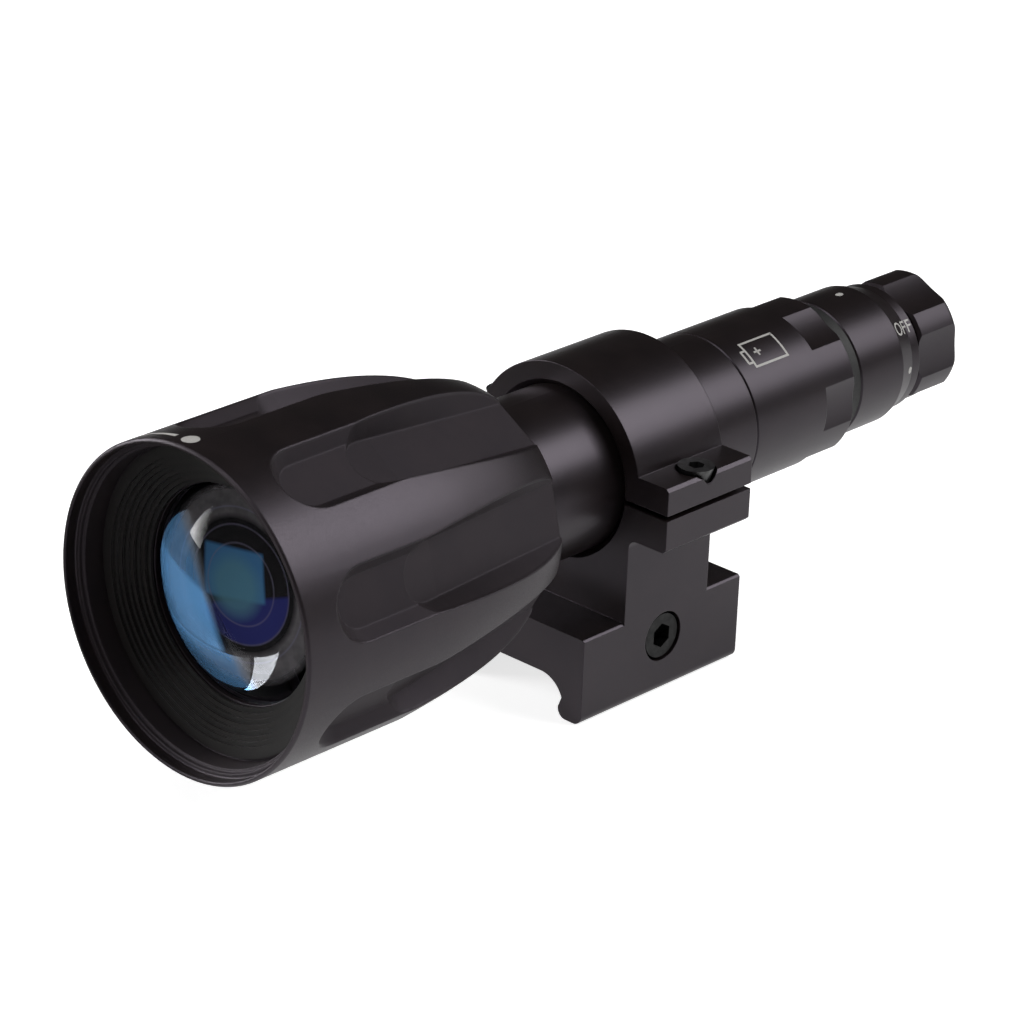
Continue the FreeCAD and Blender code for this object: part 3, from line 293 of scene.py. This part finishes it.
def anodised(name, black, roughness, edge_round, grain=6500.0, depth=0.1, fine=1.0, milled=None):
    """Black anodised metal: a blasted grain, faint clouds, and edges that catch the light."""
    material, tree = blank_material(name)
    place = object_place(tree)
    clouds = noise(tree, 130.0, 4.0, place)
    specks = noise(tree, grain, 2.0, place)
    colour = blend_colours(
        tree, spread(tree, clouds, 0, 1), [c * 0.8 for c in black], [c * 1.25 for c in black]
    )
    rough = spread(tree, specks, roughness - 0.05 * fine, roughness + 0.05 * fine)
    strength = depth
    if milled:
        share = milled_share(tree, milled, place)
        matte = add_node(tree, "ShaderNodeMix", {"Factor": share})
        tree.links.new(rough, matte.inputs[2])
        matte.inputs[3].default_value = 0.6
        rough = matte.outputs[0]
        grainy = add_node(tree, "ShaderNodeMapRange", {"Value": share, "To Min": depth, "To Max": depth * 3.5})
        strength = grainy.outputs["Result"]
    rounded = add_node(tree, "ShaderNodeBevel", {"Radius": edge_round}, samples=6).outputs["Normal"]
    if milled:
        rounded = blended_break(tree, rounded, place, HEAD_BREAK_Y, HEAD_BREAK_LEAN, 0.009)
    bump = add_node(
        tree, "ShaderNodeBump", {"Strength": strength, "Distance": 0.00003, "Height": specks, "Normal": rounded}
    ).outputs["Normal"]
    shader = add_node(tree, "ShaderNodeBsdfPrincipled", {
        "Base Color": colour, "Roughness": rough, "Metallic": 0.0, "Specular IOR Level": 0.46,
        "Specular Tint": (0.96, 0.84, 1.0, 1.0), "Normal": bump,
    })
    finish_surface(tree, shader.outputs["BSDF"])
    return material


def plain_finish(name, low, high, roughness, metallic=0.0, scale=900.0, depth=0.08, level=0.5):
    """A finish whose colour, roughness and surface vary a little."""
    material, tree = blank_material(name)
    place = object_place(tree)
    clouds = noise(tree, scale, 4.0, place)
    specks = noise(tree, scale * 6, 2.0, place)
    colour = blend_colours(tree, spread(tree, clouds, 0, 1), low, high)
    rough = spread(tree, specks, max(roughness - 0.06, 0.02), min(roughness + 0.06, 1.0))
    bump = add_node(
        tree, "ShaderNodeBump", {"Strength": depth, "Distance": 0.00003, "Height": specks}
    ).outputs["Normal"]
    shader = add_node(tree, "ShaderNodeBsdfPrincipled", {
        "Base Color": colour, "Roughness": rough, "Metallic": metallic, "Specular IOR Level": level,
        "Normal": bump,
    })
    finish_surface(tree, shader.outputs["BSDF"])
    return material


def ribbed_black(name, black, pitch):
    """Matte black with fine turned rings along the tube."""
    material, tree = blank_material(name)
    place = object_place(tree)
    rings = add_node(
        tree, "ShaderNodeTexWave", {"Vector": place, "Scale": 1 / pitch / 3.183, "Distortion": 0.0},
        wave_type="BANDS", bands_direction="Y",
    ).outputs["Fac"]
    specks = noise(tree, 5000.0, 2.0, place)
    colour = blend_colours(tree, rings, [c * 0.5 for c in black], [c * 1.3 for c in black])
    bump = add_node(
        tree, "ShaderNodeBump", {"Strength": 0.5, "Distance": 0.0002, "Height": rings}
    ).outputs["Normal"]
    shader = add_node(tree, "ShaderNodeBsdfPrincipled", {
        "Base Color": colour, "Roughness": spread(tree, specks, 0.42, 0.55), "Specular IOR Level": 0.4,
        "Normal": bump,
    })
    finish_surface(tree, shader.outputs["BSDF"])
    return material


def painted_source_view(tree, place):
    """A painted picture on the lens's flat back that stands in for the magnified view of the light source: its
    colour, and how much it covers.
    """
    parts = add_node(tree, "ShaderNodeSeparateXYZ", {"Vector": place}).outputs
    across = calc(tree, "MULTIPLY_ADD", parts["X"], 1 / MM, -VIEW_X)
    up = calc(tree, "MULTIPLY_ADD", parts["Z"], 1 / MM, -AXIS_Z / MM - VIEW_Z)
    flat = add_node(tree, "ShaderNodeCombineXYZ", {"X": across, "Y": up}).outputs[0]
    radius = add_node(tree, "ShaderNodeVectorMath", {0: flat}, operation="LENGTH").outputs["Value"]

    def within(value, limit, soft=0.15):
        return add_node(
            tree, "ShaderNodeMapRange", {"Value": value, "From Min": limit + soft, "From Max": limit - soft}
        ).outputs["Result"]

    def ring(at, half):
        return within(calc(tree, "ABSOLUTE", calc(tree, "SUBTRACT", radius, at)), half, 0.12)

    turn = math.radians(8)
    along = calc(tree, "MULTIPLY_ADD", up, math.sin(turn), calc(tree, "MULTIPLY_ADD", across, math.cos(turn), 1.2))
    over = calc(
        tree, "MULTIPLY_ADD", up, math.cos(turn), calc(tree, "MULTIPLY_ADD", across, -math.sin(turn), -1.4)
    )
    die = calc(
        tree, "MULTIPLY", within(calc(tree, "ABSOLUTE", along), 5.4, 0.3), within(calc(tree, "ABSOLUTE", over), 3.7, 0.3)
    )
    lower = calc(tree, "MULTIPLY", within(calc(tree, "MULTIPLY_ADD", across, -0.35, up), -2.4, 0.3), within(radius, 8.8, 0.2))
    # Painted colours of the view: a grey cone, a dark ring beyond it, a blue lower part, the emitter die, a teal glow
    # near the middle and light rings.
    clouds = spread(tree, noise(tree, 500.0, 3.0, place), 0.0, 1.0)
    colour = blend_colours(tree, clouds, (0.07, 0.064, 0.062), (0.1, 0.09, 0.088))
    colour = blend_colours(tree, within(radius, 10.2, 0.5), colour, (0.012, 0.011, 0.011))
    colour = blend_colours(tree, lower, colour, (0.022, 0.024, 0.1))
    colour = blend_colours(tree, die, colour, (0.042, 0.115, 0.21))
    middle = add_node(tree, "ShaderNodeVectorMath", {0: flat, 1: (-1.0, -0.6, 0.0)}, operation="DISTANCE")
    near = within(middle.outputs["Value"], 4.2, 1.2)
    colour = blend_colours(tree, calc(tree, "MULTIPLY", near, 0.75), colour, (0.07, 0.16, 0.19))
    rings = calc(tree, "ADD", ring(8.8, 0.1), ring(6.0, 0.1))
    rings = calc(tree, "ADD", rings, ring(11.6, 0.12))
    colour = blend_colours(tree, calc(tree, "MULTIPLY", rings, 0.5), colour, (0.13, 0.12, 0.16))
    cover = within(radius, 15.0, 0.8)
    return colour, cover


def painted_sheen_band(tree, parts):
    """A painted sheen: how strongly the flat back mirrors, made brightest in a band below the middle, with a slanting
    upper edge.
    """
    height = calc(tree, "MULTIPLY_ADD", parts["Z"], 1 / MM, -AXIS_Z / MM)
    slant = calc(tree, "MULTIPLY_ADD", parts["X"], 0.35 / MM, height)
    above = add_node(
        tree, "ShaderNodeMapRange", {"Value": slant, "From Min": -4.2, "From Max": -2.9, "To Min": 1.25, "To Max": 0.62},
        interpolation_type="SMOOTHSTEP",
    ).outputs["Result"]
    below = add_node(
        tree, "ShaderNodeMapRange", {"Value": height, "From Min": -12.5, "From Max": -7.5, "To Min": 0.4, "To Max": 1.0},
        interpolation_type="SMOOTHSTEP",
    ).outputs["Result"]
    return calc(tree, "MULTIPLY", above, below)


def coated_glass(name, tint, back_share, front_share, back_y, view=False):
    """Clear glass: a faint coating on the domed front, and one that mirrors blue on the flat back with a painted
    sheen band; with view, a painted picture of the light source covers the flat back.
    """
    material, tree = blank_material(name)
    place = object_place(tree)
    film = spread(tree, noise(tree, 45.0, 1.0, place), 0.9, 1.0)
    parts = add_node(tree, "ShaderNodeSeparateXYZ", {"Vector": place}).outputs
    at_back = add_node(
        tree, "ShaderNodeMapRange", {"Value": parts["Y"], "From Min": back_y - 0.0002, "From Max": back_y - 0.0001}
    ).outputs["Result"]
    facing = add_node(tree, "ShaderNodeLayerWeight", {"Blend": 0.5}).outputs["Facing"]
    grazing = add_node(
        tree, "ShaderNodeMapRange", {"Value": facing, "From Min": 0.33, "From Max": 0.42}
    ).outputs["Result"]
    front = calc(tree, "MULTIPLY", grazing, calc(tree, "ADD", calc(tree, "POWER", facing, 4.5), front_share))
    slanting = add_node(
        tree, "ShaderNodeMapRange", {"Value": facing, "From Min": 0.14, "From Max": 0.17}
    ).outputs["Result"]
    # Painted sheen: the back mirrors more strongly in a band below the middle.
    strength = painted_sheen_band(tree, parts)
    strength = add_node(tree, "ShaderNodeMix", {"Factor": slanting, 2: strength, 3: 0.12}).outputs[0]
    back = calc(tree, "MULTIPLY", film, calc(tree, "MULTIPLY", strength, back_share))
    share = add_node(tree, "ShaderNodeMix", {"Factor": at_back, 2: front, 3: back}).outputs[0]
    coating = blend_colours(tree, slanting, tint, (0.95, 0.97, 1.0))
    colour = blend_colours(tree, at_back, (1.0, 1.0, 1.0), coating)
    body = add_node(
        tree, "ShaderNodeBsdfRefraction", {"Color": (0.97, 0.98, 1.0, 1.0), "Roughness": 0.0, "IOR": 1.52}
    ).outputs[0]
    if view:
        # Where it covers, the flat back shows the painted picture as a lit diffuse surface in place of the refracted
        # view.
        painted_view, cover = painted_source_view(tree, place)
        picture = add_node(tree, "ShaderNodeBsdfDiffuse", {"Color": painted_view}).outputs[0]
        covered = calc(tree, "MULTIPLY", cover, at_back)
        body = add_node(tree, "ShaderNodeMixShader", {0: covered, 1: body, 2: picture}).outputs[0]
    mirror = add_node(tree, "ShaderNodeBsdfGlossy", {"Color": colour, "Roughness": 0.004}).outputs[0]
    coated = add_node(tree, "ShaderNodeMixShader", {0: share, 1: body, 2: mirror}).outputs[0]
    lets_light = add_node(tree, "ShaderNodeBsdfTransparent", {"Color": (0.9, 0.93, 1.0, 1.0)}).outputs[0]
    path = add_node(tree, "ShaderNodeLightPath").outputs
    unseen = calc(tree, "MAXIMUM", path["Is Shadow Ray"], path["Is Diffuse Ray"])
    whole = add_node(tree, "ShaderNodeMixShader", {0: unseen, 1: coated, 2: lets_light}).outputs[0]
    finish_surface(tree, whole)
    return material


# Modelling helpers


def deselect_all():
    bpy.ops.object.select_all(action="DESELECT")


def take(piece):
    """Makes one object the selected and active one."""
    deselect_all()
    piece.select_set(True)
    bpy.context.view_layer.objects.active = piece
    return piece


def settle(piece, name, body, material):
    """Applies a piece's place, gives it its finish and puts it on its body."""
    take(piece)
    bpy.ops.object.transform_apply(location=True, rotation=True, scale=True)
    piece.name = name
    piece.data.name = name
    piece.data.materials.clear()
    piece.data.materials.append(material)
    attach(piece, body)
    return piece


def coat(material, *nodes):
    """Gives CAD nodes a finish."""
    for name in nodes:
        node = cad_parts[name]
        if not node.material_slots:
            node.data.materials.append(material)
        for place in node.material_slots:
            place.material = material


def lay_on(piece, node, radius, y, angle, cuts=3):
    """Lays a flat mark on a turned surface: its X runs along the tube and its Y round it, angle from the top."""
    take(piece)
    bpy.ops.object.transform_apply(location=True, rotation=True, scale=True)
    turn = math.radians(angle)
    out = Vector((math.sin(turn), 0, math.cos(turn)))
    up = Vector((-math.cos(turn), 0, math.sin(turn)))
    along = Vector((0, 1, 0))
    centre = Vector((0, y, AXIS_Z)) + out * (radius + 0.0008)
    piece.matrix_world = Matrix.Translation(centre) @ Matrix((along, up, out)).transposed().to_4x4()
    bpy.ops.object.transform_apply(location=True, rotation=True, scale=True)
    bpy.ops.object.mode_set(mode="EDIT")
    bpy.ops.mesh.select_all(action="SELECT")
    bpy.ops.mesh.quads_convert_to_tris()
    bpy.ops.mesh.subdivide(number_cuts=cuts)
    bpy.ops.object.mode_set(mode="OBJECT")
    marks = bpy.context.scene.illuminator_marks
    wrap = piece.modifiers.new("Lay", "SHRINKWRAP")
    wrap.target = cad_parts[node]
    wrap.wrap_method = "NEAREST_SURFACEPOINT"
    wrap.wrap_mode = "ABOVE_SURFACE"
    wrap.offset = marks.proud * 0.5
    bpy.ops.object.modifier_apply(modifier="Lay")
    ink = piece.modifiers.new("Ink", "SOLIDIFY")
    ink.thickness = marks.proud * 0.5
    ink.offset = 1.0
    bpy.ops.object.modifier_apply(modifier="Ink")
    return piece


# Operators


class ILLUMINATOR_OT_metal(bpy.types.Operator):
    """Black anodised finishes on the shells, the mount and the knob"""

    bl_idname = "illuminator.metal"
    bl_label = "Anodise the metal"

    def execute(self, context):
        settings = context.scene.illuminator_finish
        black = list(settings.black)
        turned = anodised("satin black", black, settings.satin, settings.edge_round, 9000.0, 0.05, 0.6)
        blasted = anodised(
            "blasted black", black, settings.blasted, settings.flute_round, 5200.0, 0.16, milled="head_shell"
        )
        coat(blasted, "head_shell")
        coat(turned, "main_tube", "battery_tube", "tail_housing", "power_knob", "lens_cell", "lens_retainer")
        coat(anodised("mount black", black, 0.34, settings.edge_round, 6500.0, 0.08, 0.8),
             "mount_base", "ring_cap", "clamp_jaw")
        coat(ribbed_black("baffle black", [c * 0.5 for c in black], 0.00035), "baffle_ring")
        coat(plain_finish("holder black", [0.006] * 3, [0.011] * 3, 0.5), "condenser_holder")
        return {"FINISHED"}


class ILLUMINATOR_OT_inner(bpy.types.Operator):
    """Finishes of the light source, the battery, the seals, the screws and the switch"""

    bl_idname = "illuminator.inner"
    bl_label = "Finish the inner pieces"

    def execute(self, context):
        coat(plain_finish("seal rubber", [0.008] * 3, [0.014] * 3, 0.62), "neck_seal", "lens_seal",
             "joint_seal", "tail_band", "spigot_seal", "shaft_seal")
        coat(plain_finish("turned aluminium", [0.3, 0.3, 0.31], [0.42, 0.42, 0.43], 0.38, 0.7), "heat_sink")
        coat(plain_finish("white board", [0.62, 0.62, 0.6], [0.7, 0.7, 0.68], 0.45), "emitter_board")
        coat(plain_finish("green board", [0.01, 0.09, 0.035], [0.02, 0.13, 0.05], 0.35), "driver_board", "tail_board")
        coat(plain_finish("emitter die", [0.02, 0.1, 0.24], [0.05, 0.2, 0.42], 0.2, 0.3), "emitter")
        coat(plain_finish("red wire", [0.4, 0.02, 0.015], [0.5, 0.03, 0.02], 0.4), "emitter_leads")
        coat(plain_finish("plated brass", [0.6, 0.42, 0.16], [0.72, 0.52, 0.22], 0.28, 1.0), "front_contact")
        coat(plain_finish("spring wire", [0.5, 0.48, 0.4], [0.6, 0.58, 0.5], 0.25, 1.0), "tail_spring")
        coat(plain_finish("black oxide", [0.06] * 3, [0.1] * 3, 0.36, 0.85), "ring_screws")
        # The clamp screw's black oxide is made darker still as painted shade, so the screw reads as sitting down in a
        # shaded hole.
        coat(plain_finish("black oxide darkened as painted shade", [0.012] * 3, [0.026] * 3, 0.4, 0.85), "clamp_screw")
        coat(plain_finish("ground steel", [0.42] * 3, [0.5] * 3, 0.27, 1.0), "key_pins", "guide_pins",
             "clamp_washer", "switch_shaft", "board_screws", "knob_screw")
        coat(plain_finish("battery wrap", [0.03, 0.07, 0.2], [0.04, 0.09, 0.26], 0.3), "battery")
        coat(plain_finish("switch body", [0.015] * 3, [0.025] * 3, 0.5), "rotary_switch")
        return {"FINISHED"}


class ILLUMINATOR_OT_lens(bpy.types.Operator):
    """The coated plano-convex lens and the small condenser lens"""

    bl_idname = "illuminator.lens"
    bl_label = "Grind the lenses"

    def grind(self, name, node, dome_r, land, edge, body, slot, material):
        """A dome cut from a sphere, with a flat land, an edge and a flat back."""
        low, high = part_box(node)
        outer = (high.x - low.x) / 2
        dome_edge = outer - land
        sag = dome_r - math.sqrt(dome_r ** 2 - dome_edge ** 2)
        rim_y = low.y + sag
        deselect_all()
        bpy.ops.mesh.primitive_uv_sphere_add(
            segments=160, ring_count=160, radius=dome_r, location=(0, low.y + dome_r, AXIS_Z),
            rotation=(math.pi / 2, 0, 0),
        )
        piece = context_object()
        bpy.ops.object.transform_apply(location=True, rotation=True, scale=True)
        bpy.ops.object.mode_set(mode="EDIT")
        bpy.ops.mesh.select_all(action="SELECT")
        bpy.ops.mesh.bisect(plane_co=(0, rim_y, AXIS_Z), plane_no=(0, 1, 0), clear_outer=True)
        middle = Vector((0, rim_y, AXIS_Z))
        if land > 0:
            grow = outer / dome_edge
            bpy.ops.mesh.extrude_edges_move()
            bpy.ops.transform.resize(value=(grow, 1, grow), center_override=middle)
        bpy.ops.mesh.extrude_edges_move(TRANSFORM_OT_translate={"value": (0, edge, 0)})
        bpy.ops.mesh.edge_face_add()
        bpy.ops.mesh.select_all(action="SELECT")
        bpy.ops.mesh.normals_make_consistent(inside=False)
        bpy.ops.object.mode_set(mode="OBJECT")
        bpy.ops.object.shade_smooth_by_angle(angle=math.radians(25))
        settle(piece, name, body, material)
        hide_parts(node)
        return piece

    def execute(self, context):
        tint = list(context.scene.illuminator_finish.coating)
        front = coated_glass("coated glass", tint, 0.38, 0.012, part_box("lens")[1].y, view=True)
        self.grind("lens_glass", "lens", 0.029, 0.001, 0.003, "lens_carriage", "coated_glass", front)
        small = coated_glass("condenser glass", [0.35, 0.3, 0.8], 0.12, 0.06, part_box("condenser_lens")[1].y)
        self.grind("condenser_glass", "condenser_lens", 0.0092, 0.0, 0.001, "tube", "clear_glass", small)
        return {"FINISHED"}


def context_object():
    return bpy.context.view_layer.objects.active


class ILLUMINATOR_OT_marks(bpy.types.Operator):
    """The printed word at the switch, the battery pictogram, and the index and focus marks"""

    bl_idname = "illuminator.marks"
    bl_label = "Print the marks"

    def word(self, marks, ink):
        deselect_all()
        bpy.ops.object.text_add()
        piece = context_object()
        piece.data.body = "OFF"
        piece.data.size = marks.word_height * 1.38
        piece.data.align_x = "CENTER"
        piece.data.align_y = "CENTER"
        piece.data.resolution_u = 6
        piece.data.offset = 0.00003
        bpy.ops.object.convert(target="MESH")
        piece = context_object()
        piece.scale = (0.86, 1.0, 1.0)
        lay_on(piece, "tail_housing", 0.012, 0.0713, 53.0, cuts=5)
        settle(piece, "off_word", "tail", ink)

    def dot(self, name, node, radius, y, angle, across, along, body, ink):
        deselect_all()
        bpy.ops.mesh.primitive_circle_add(vertices=32, radius=0.5, fill_type="TRIFAN")
        piece = context_object()
        piece.scale = (along, across, 1.0)
        lay_on(piece, node, radius, y, angle)
        settle(piece, name, body, ink)

    def arc(self, marks, ink):
        """A line on the head beside the focus dot that runs out to a point."""
        deselect_all()
        bpy.ops.mesh.primitive_circle_add(vertices=3, radius=0.0113, fill_type="NGON")
        piece = context_object()
        piece.scale = (0.046, 1.0, 1.0)
        lay_on(piece, "head_shell", 0.029, -0.0953, -20.0, cuts=15)
        settle(piece, "focus_arc", "head", ink)

    def bar(self, name, node, radius, y, angle, along, across, ink, body):
        deselect_all()
        bpy.ops.mesh.primitive_grid_add(x_subdivisions=6, y_subdivisions=4, size=1.0)
        piece = context_object()
        piece.scale = (along, across, 1.0)
        lay_on(piece, node, radius, y, angle)
        return settle(piece, name, body, ink)

    def pictogram(self, marks, ink):
        """A battery outline with its nub and a plus sign."""
        line = marks.line_width
        round_r = 0.015
        degree = math.radians(1) * round_r
        bars = [
            (0.03385, 22.0, 0.0085 + line, line),
            (0.03385, 42.0, 0.0085 + line, line),
            (0.0296, 32.0, line, 20 * degree + line),
            (0.0381, 32.0, line, 20 * degree + line),
            (0.0284, 33.3, line, 10.6 * degree),
            (0.0289, 28.3, 0.0012, line),
            (0.0289, 38.3, 0.0012, line),
            (0.0321, 31.6, 0.0018, line * 0.9),
            (0.0321, 31.6, line * 0.9, 0.0018),
        ]
        made = [
            self.bar("battery_sign", "battery_tube", round_r, y, angle, along, across, ink, "tube")
            for y, angle, along, across in bars
        ]
        deselect_all()
        for piece in made:
            piece.select_set(True)
        bpy.context.view_layer.objects.active = made[0]
        bpy.ops.object.join()
        context_object().name = "battery_sign"

    def execute(self, context):
        marks = context.scene.illuminator_marks
        white = list(context.scene.illuminator_finish.print_white)
        ink = plain_finish("print white", [c * 0.9 for c in white], white, 0.55, scale=2500.0)
        self.word(marks, ink)
        self.pictogram(marks, ink)
        self.dot("index_dot", "tail_housing", 0.012, 0.0715, 90.5, 0.0014, 0.0014, "tail", ink)
        self.dot("tail_mark", "tail_housing", 0.01315, 0.0640, 1.5, 0.0013, 0.0018, "tail", ink)
        self.dot("focus_dot", "head_shell", 0.029, -0.0953, -3.0, marks.dot, marks.dot, "head", ink)
        self.arc(marks, ink)
        return {"FINISHED"}


class ILLUMINATOR_OT_studio(bpy.types.Operator):
    """White floor, soft lights, world and camera"""

    bl_idname = "illuminator.studio"
    bl_label = "Set the studio"

    def floor(self):
        deselect_all()
        bpy.ops.mesh.primitive_plane_add(size=12.0, location=(0, 0, CAD_BOX[0].z - 0.0001))
        plane = context_object()
        bpy.ops.object.transform_apply(location=True, rotation=True, scale=True)
        plane.name = "studio_floor"
        material, tree = blank_material("white floor")
        path = add_node(tree, "ShaderNodeLightPath").outputs
        mirrored = calc(tree, "MAXIMUM", path["Is Glossy Ray"], path["Is Transmission Ray"])
        # For reflected and refracted rays the floor glows, most strongly near the object and fading with distance:
        # painted light seen only in reflections.
        reach = add_node(
            tree, "ShaderNodeVectorMath", {0: object_place(tree), 1: (0.03, -0.02, CAD_BOX[0].z)},
            operation="DISTANCE",
        ).outputs["Value"]
        fading = add_node(tree, "ShaderNodeMapRange", {
            "Value": reach, "From Min": 0.11, "From Max": 0.3, "To Min": 0.35, "To Max": 0.08,
        }, interpolation_type="SMOOTHSTEP").outputs["Result"]
        dimmed = calc(tree, "MULTIPLY", mirrored, fading)
        white = add_node(tree, "ShaderNodeMapRange", {
            "Value": reach, "From Min": 0.5, "From Max": 2.0, "To Min": 0.75, "To Max": 1.0,
        }).outputs["Result"]
        strength = calc(tree, "MULTIPLY_ADD", path["Is Camera Ray"], white, dimmed)
        specks = spread(tree, noise(tree, 40.0), 0.78, 0.82)
        paper = add_node(tree, "ShaderNodeBsdfDiffuse")
        tree.links.new(specks, paper.inputs["Color"])
        glow = add_node(tree, "ShaderNodeEmission", {"Color": HOT})
        tree.links.new(strength, glow.inputs["Strength"])
        both = add_node(tree, "ShaderNodeAddShader")
        tree.links.new(paper.outputs[0], both.inputs[0])
        tree.links.new(glow.outputs[0], both.inputs[1])
        # Painted dark reflection: reflected rays see this dark surface in the wedge to the left of the lens, where no
        # card stands.
        painted_dark_reflection = add_node(tree, "ShaderNodeBsdfDiffuse", {"Color": (0.02, 0.02, 0.02, 1.0)})
        share = add_node(tree, "ShaderNodeMath", operation="MULTIPLY")
        tree.links.new(self.front_card(tree), share.inputs[0])
        tree.links.new(mirrored, share.inputs[1])
        whole = add_node(tree, "ShaderNodeMixShader")
        tree.links.new(share.outputs[0], whole.inputs[0])
        tree.links.new(both.outputs[0], whole.inputs[1])
        tree.links.new(painted_dark_reflection.outputs[0], whole.inputs[2])
        finish_surface(tree, whole.outputs[0])
        plane.data.materials.append(material)

    def front_card(self, tree):
        """1 on the floor to the left of the lens, where reflections are kept dark as by a black card."""
        lens_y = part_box("lens")[0].y
        parts = add_node(tree, "ShaderNodeSeparateXYZ", {"Vector": object_place(tree)}).outputs
        ahead = add_node(tree, "ShaderNodeMath", operation="SUBTRACT")
        tree.links.new(parts["Y"], ahead.inputs[0])
        ahead.inputs[1].default_value = lens_y
        flat = add_node(tree, "ShaderNodeCombineXYZ", {"X": parts["X"], "Y": ahead.outputs[0]})
        way = add_node(tree, "ShaderNodeVectorMath", operation="NORMALIZE")
        tree.links.new(flat.outputs[0], way.inputs[0])
        turn = math.radians(CARD_TURN)
        lined_up = add_node(tree, "ShaderNodeVectorMath", operation="DOT_PRODUCT")
        tree.links.new(way.outputs["Vector"], lined_up.inputs[0])
        lined_up.inputs[1].default_value = (math.sin(turn), -math.cos(turn), 0)
        edge = math.cos(math.radians(CARD_HALF_ANGLE))
        return add_node(
            tree, "ShaderNodeMapRange",
            {"Value": lined_up.outputs["Value"], "From Min": edge - 0.02, "From Max": edge + 0.02},
        ).outputs["Result"]

    def softbox(self, name, towards, distance, across, along, radiance, lie=Vector((0, 1, 0))):
        """A rectangular light: its long side lies in the plane of lie and of the way to it."""
        light = bpy.data.lights.new(name, "AREA")
        light.shape = "RECTANGLE"
        light.size = across
        light.size_y = along
        light.energy = radiance * math.pi * across * along
        lamp = bpy.data.objects.new(name, light)
        bpy.context.scene.collection.objects.link(lamp)
        out = Vector(towards).normalized()
        side = lie.cross(out).normalized()
        turn = Matrix((side, out.cross(side), out)).transposed().to_4x4()
        lamp.matrix_world = Matrix.Translation(Vector((0, -0.01, AXIS_Z)) + out * distance) @ turn

    def world(self):
        world = bpy.data.worlds.new("studio")
        bpy.context.scene.world = world
        world.use_nodes = True
        tree = world.node_tree
        tree.nodes.clear()
        output = tree.nodes.new("ShaderNodeOutputWorld")
        light_path = add_node(tree, "ShaderNodeLightPath")
        back = add_node(
            tree, "ShaderNodeSeparateXYZ", {"Vector": add_node(tree, "ShaderNodeTexCoord").outputs["Generated"]}
        ).outputs["Y"]
        room = add_node(
            tree, "ShaderNodeMapRange",
            {"Value": back, "From Min": -0.2, "From Max": 0.5, "To Min": 0.02, "To Max": 0.035},
        ).outputs["Result"]
        strength = add_node(tree, "ShaderNodeMix", {"Factor": light_path.outputs["Is Camera Ray"]})
        tree.links.new(room, strength.inputs[2])
        strength.inputs[3].default_value = 1.0
        back = add_node(tree, "ShaderNodeBackground", {"Color": HOT, "Strength": strength.outputs[0]})
        tree.links.new(back.outputs[0], output.inputs["Surface"])

    def camera(self, studio):
        data = bpy.data.cameras.new("camera")
        data.lens = studio.lens_mm
        data.sensor_width = 36.0
        data.clip_start = 0.01
        camera = bpy.data.objects.new("camera", data)
        bpy.context.scene.collection.objects.link(camera)
        a = studio.azimuth
        e = studio.elevation
        back = Vector((math.sin(a) * math.cos(e), -math.cos(a) * math.cos(e), math.sin(e)))
        right = Vector((math.cos(a), math.sin(a), 0))
        up = back.cross(right)
        lean_right = right * math.cos(studio.roll) + up * math.sin(studio.roll)
        lean_up = up * math.cos(studio.roll) - right * math.sin(studio.roll)
        turn = Matrix((lean_right, lean_up, back)).transposed().to_4x4()
        camera.matrix_world = Matrix.Translation(Vector(studio.camera_at)) @ turn
        bpy.context.scene.camera = camera

    def execute(self, context):
        self.floor()
        self.world()
        self.softbox("side softbox", (0.572, 0.493, 0.655), 1.127, 0.64, 0.7, 6.0)
        self.softbox("rear fill", (0.362, 0.821, 0.441), 1.128, 0.58, 0.3, 1.8)
        self.softbox("lens softbox", (-0.856, -0.474, 0.208), 0.9, 0.37, 0.5, 12.0, Vector((0, 0, 1)))
        self.softbox("front panel", (-0.28, -0.92, 0.2), 1.2, 1.5, 0.62, 0.95, Vector((0, 0, 1)))
        self.softbox("top fill", (-0.1, -0.45, 0.89), 1.1, 0.5, 0.5, 4.0)
        self.camera(context.scene.illuminator_studio)
        context.scene.view_settings.view_transform = "Standard"
        return {"FINISHED"}


class ILLUMINATOR_PT_panel(bpy.types.Panel):
    """The illuminator's settings and steps"""

    bl_label = "Infrared illuminator"
    bl_idname = "ILLUMINATOR_PT_panel"
    bl_space_type = "VIEW_3D"
    bl_region_type = "UI"
    bl_category = "Illuminator"

    def draw(self, context):
        layout = self.layout
        for settings in (
            context.scene.illuminator_finish, context.scene.illuminator_marks, context.scene.illuminator_studio
        ):
            for name in settings.__annotations__:
                layout.prop(settings, name)
        for step in STEPS:
            layout.operator(step)


STEPS = (
    "illuminator.metal",
    "illuminator.inner",
    "illuminator.lens",
    "illuminator.marks",
    "illuminator.studio",
)

CLASSES = (
    IlluminatorFinish,
    IlluminatorMarks,
    IlluminatorStudio,
    ILLUMINATOR_OT_metal,
    ILLUMINATOR_OT_inner,
    ILLUMINATOR_OT_lens,
    ILLUMINATOR_OT_marks,
    ILLUMINATOR_OT_studio,
    ILLUMINATOR_PT_panel,
)


def register():
    for each in CLASSES:
        bpy.utils.register_class(each)
    bpy.types.Scene.illuminator_finish = bpy.props.PointerProperty(type=IlluminatorFinish)
    bpy.types.Scene.illuminator_marks = bpy.props.PointerProperty(type=IlluminatorMarks)
    bpy.types.Scene.illuminator_studio = bpy.props.PointerProperty(type=IlluminatorStudio)


def unregister():
    del bpy.types.Scene.illuminator_studio
    del bpy.types.Scene.illuminator_marks
    del bpy.types.Scene.illuminator_finish
    for each in reversed(CLASSES):
        bpy.utils.unregister_class(each)


def main():
    register()
    bpy.ops.illuminator.metal()
    bpy.ops.illuminator.inner()
    bpy.ops.illuminator.lens()
    bpy.ops.illuminator.marks()
    bpy.ops.illuminator.studio()
    bpy.context.view_layer.update()


if __name__ == "__main__":
    main()
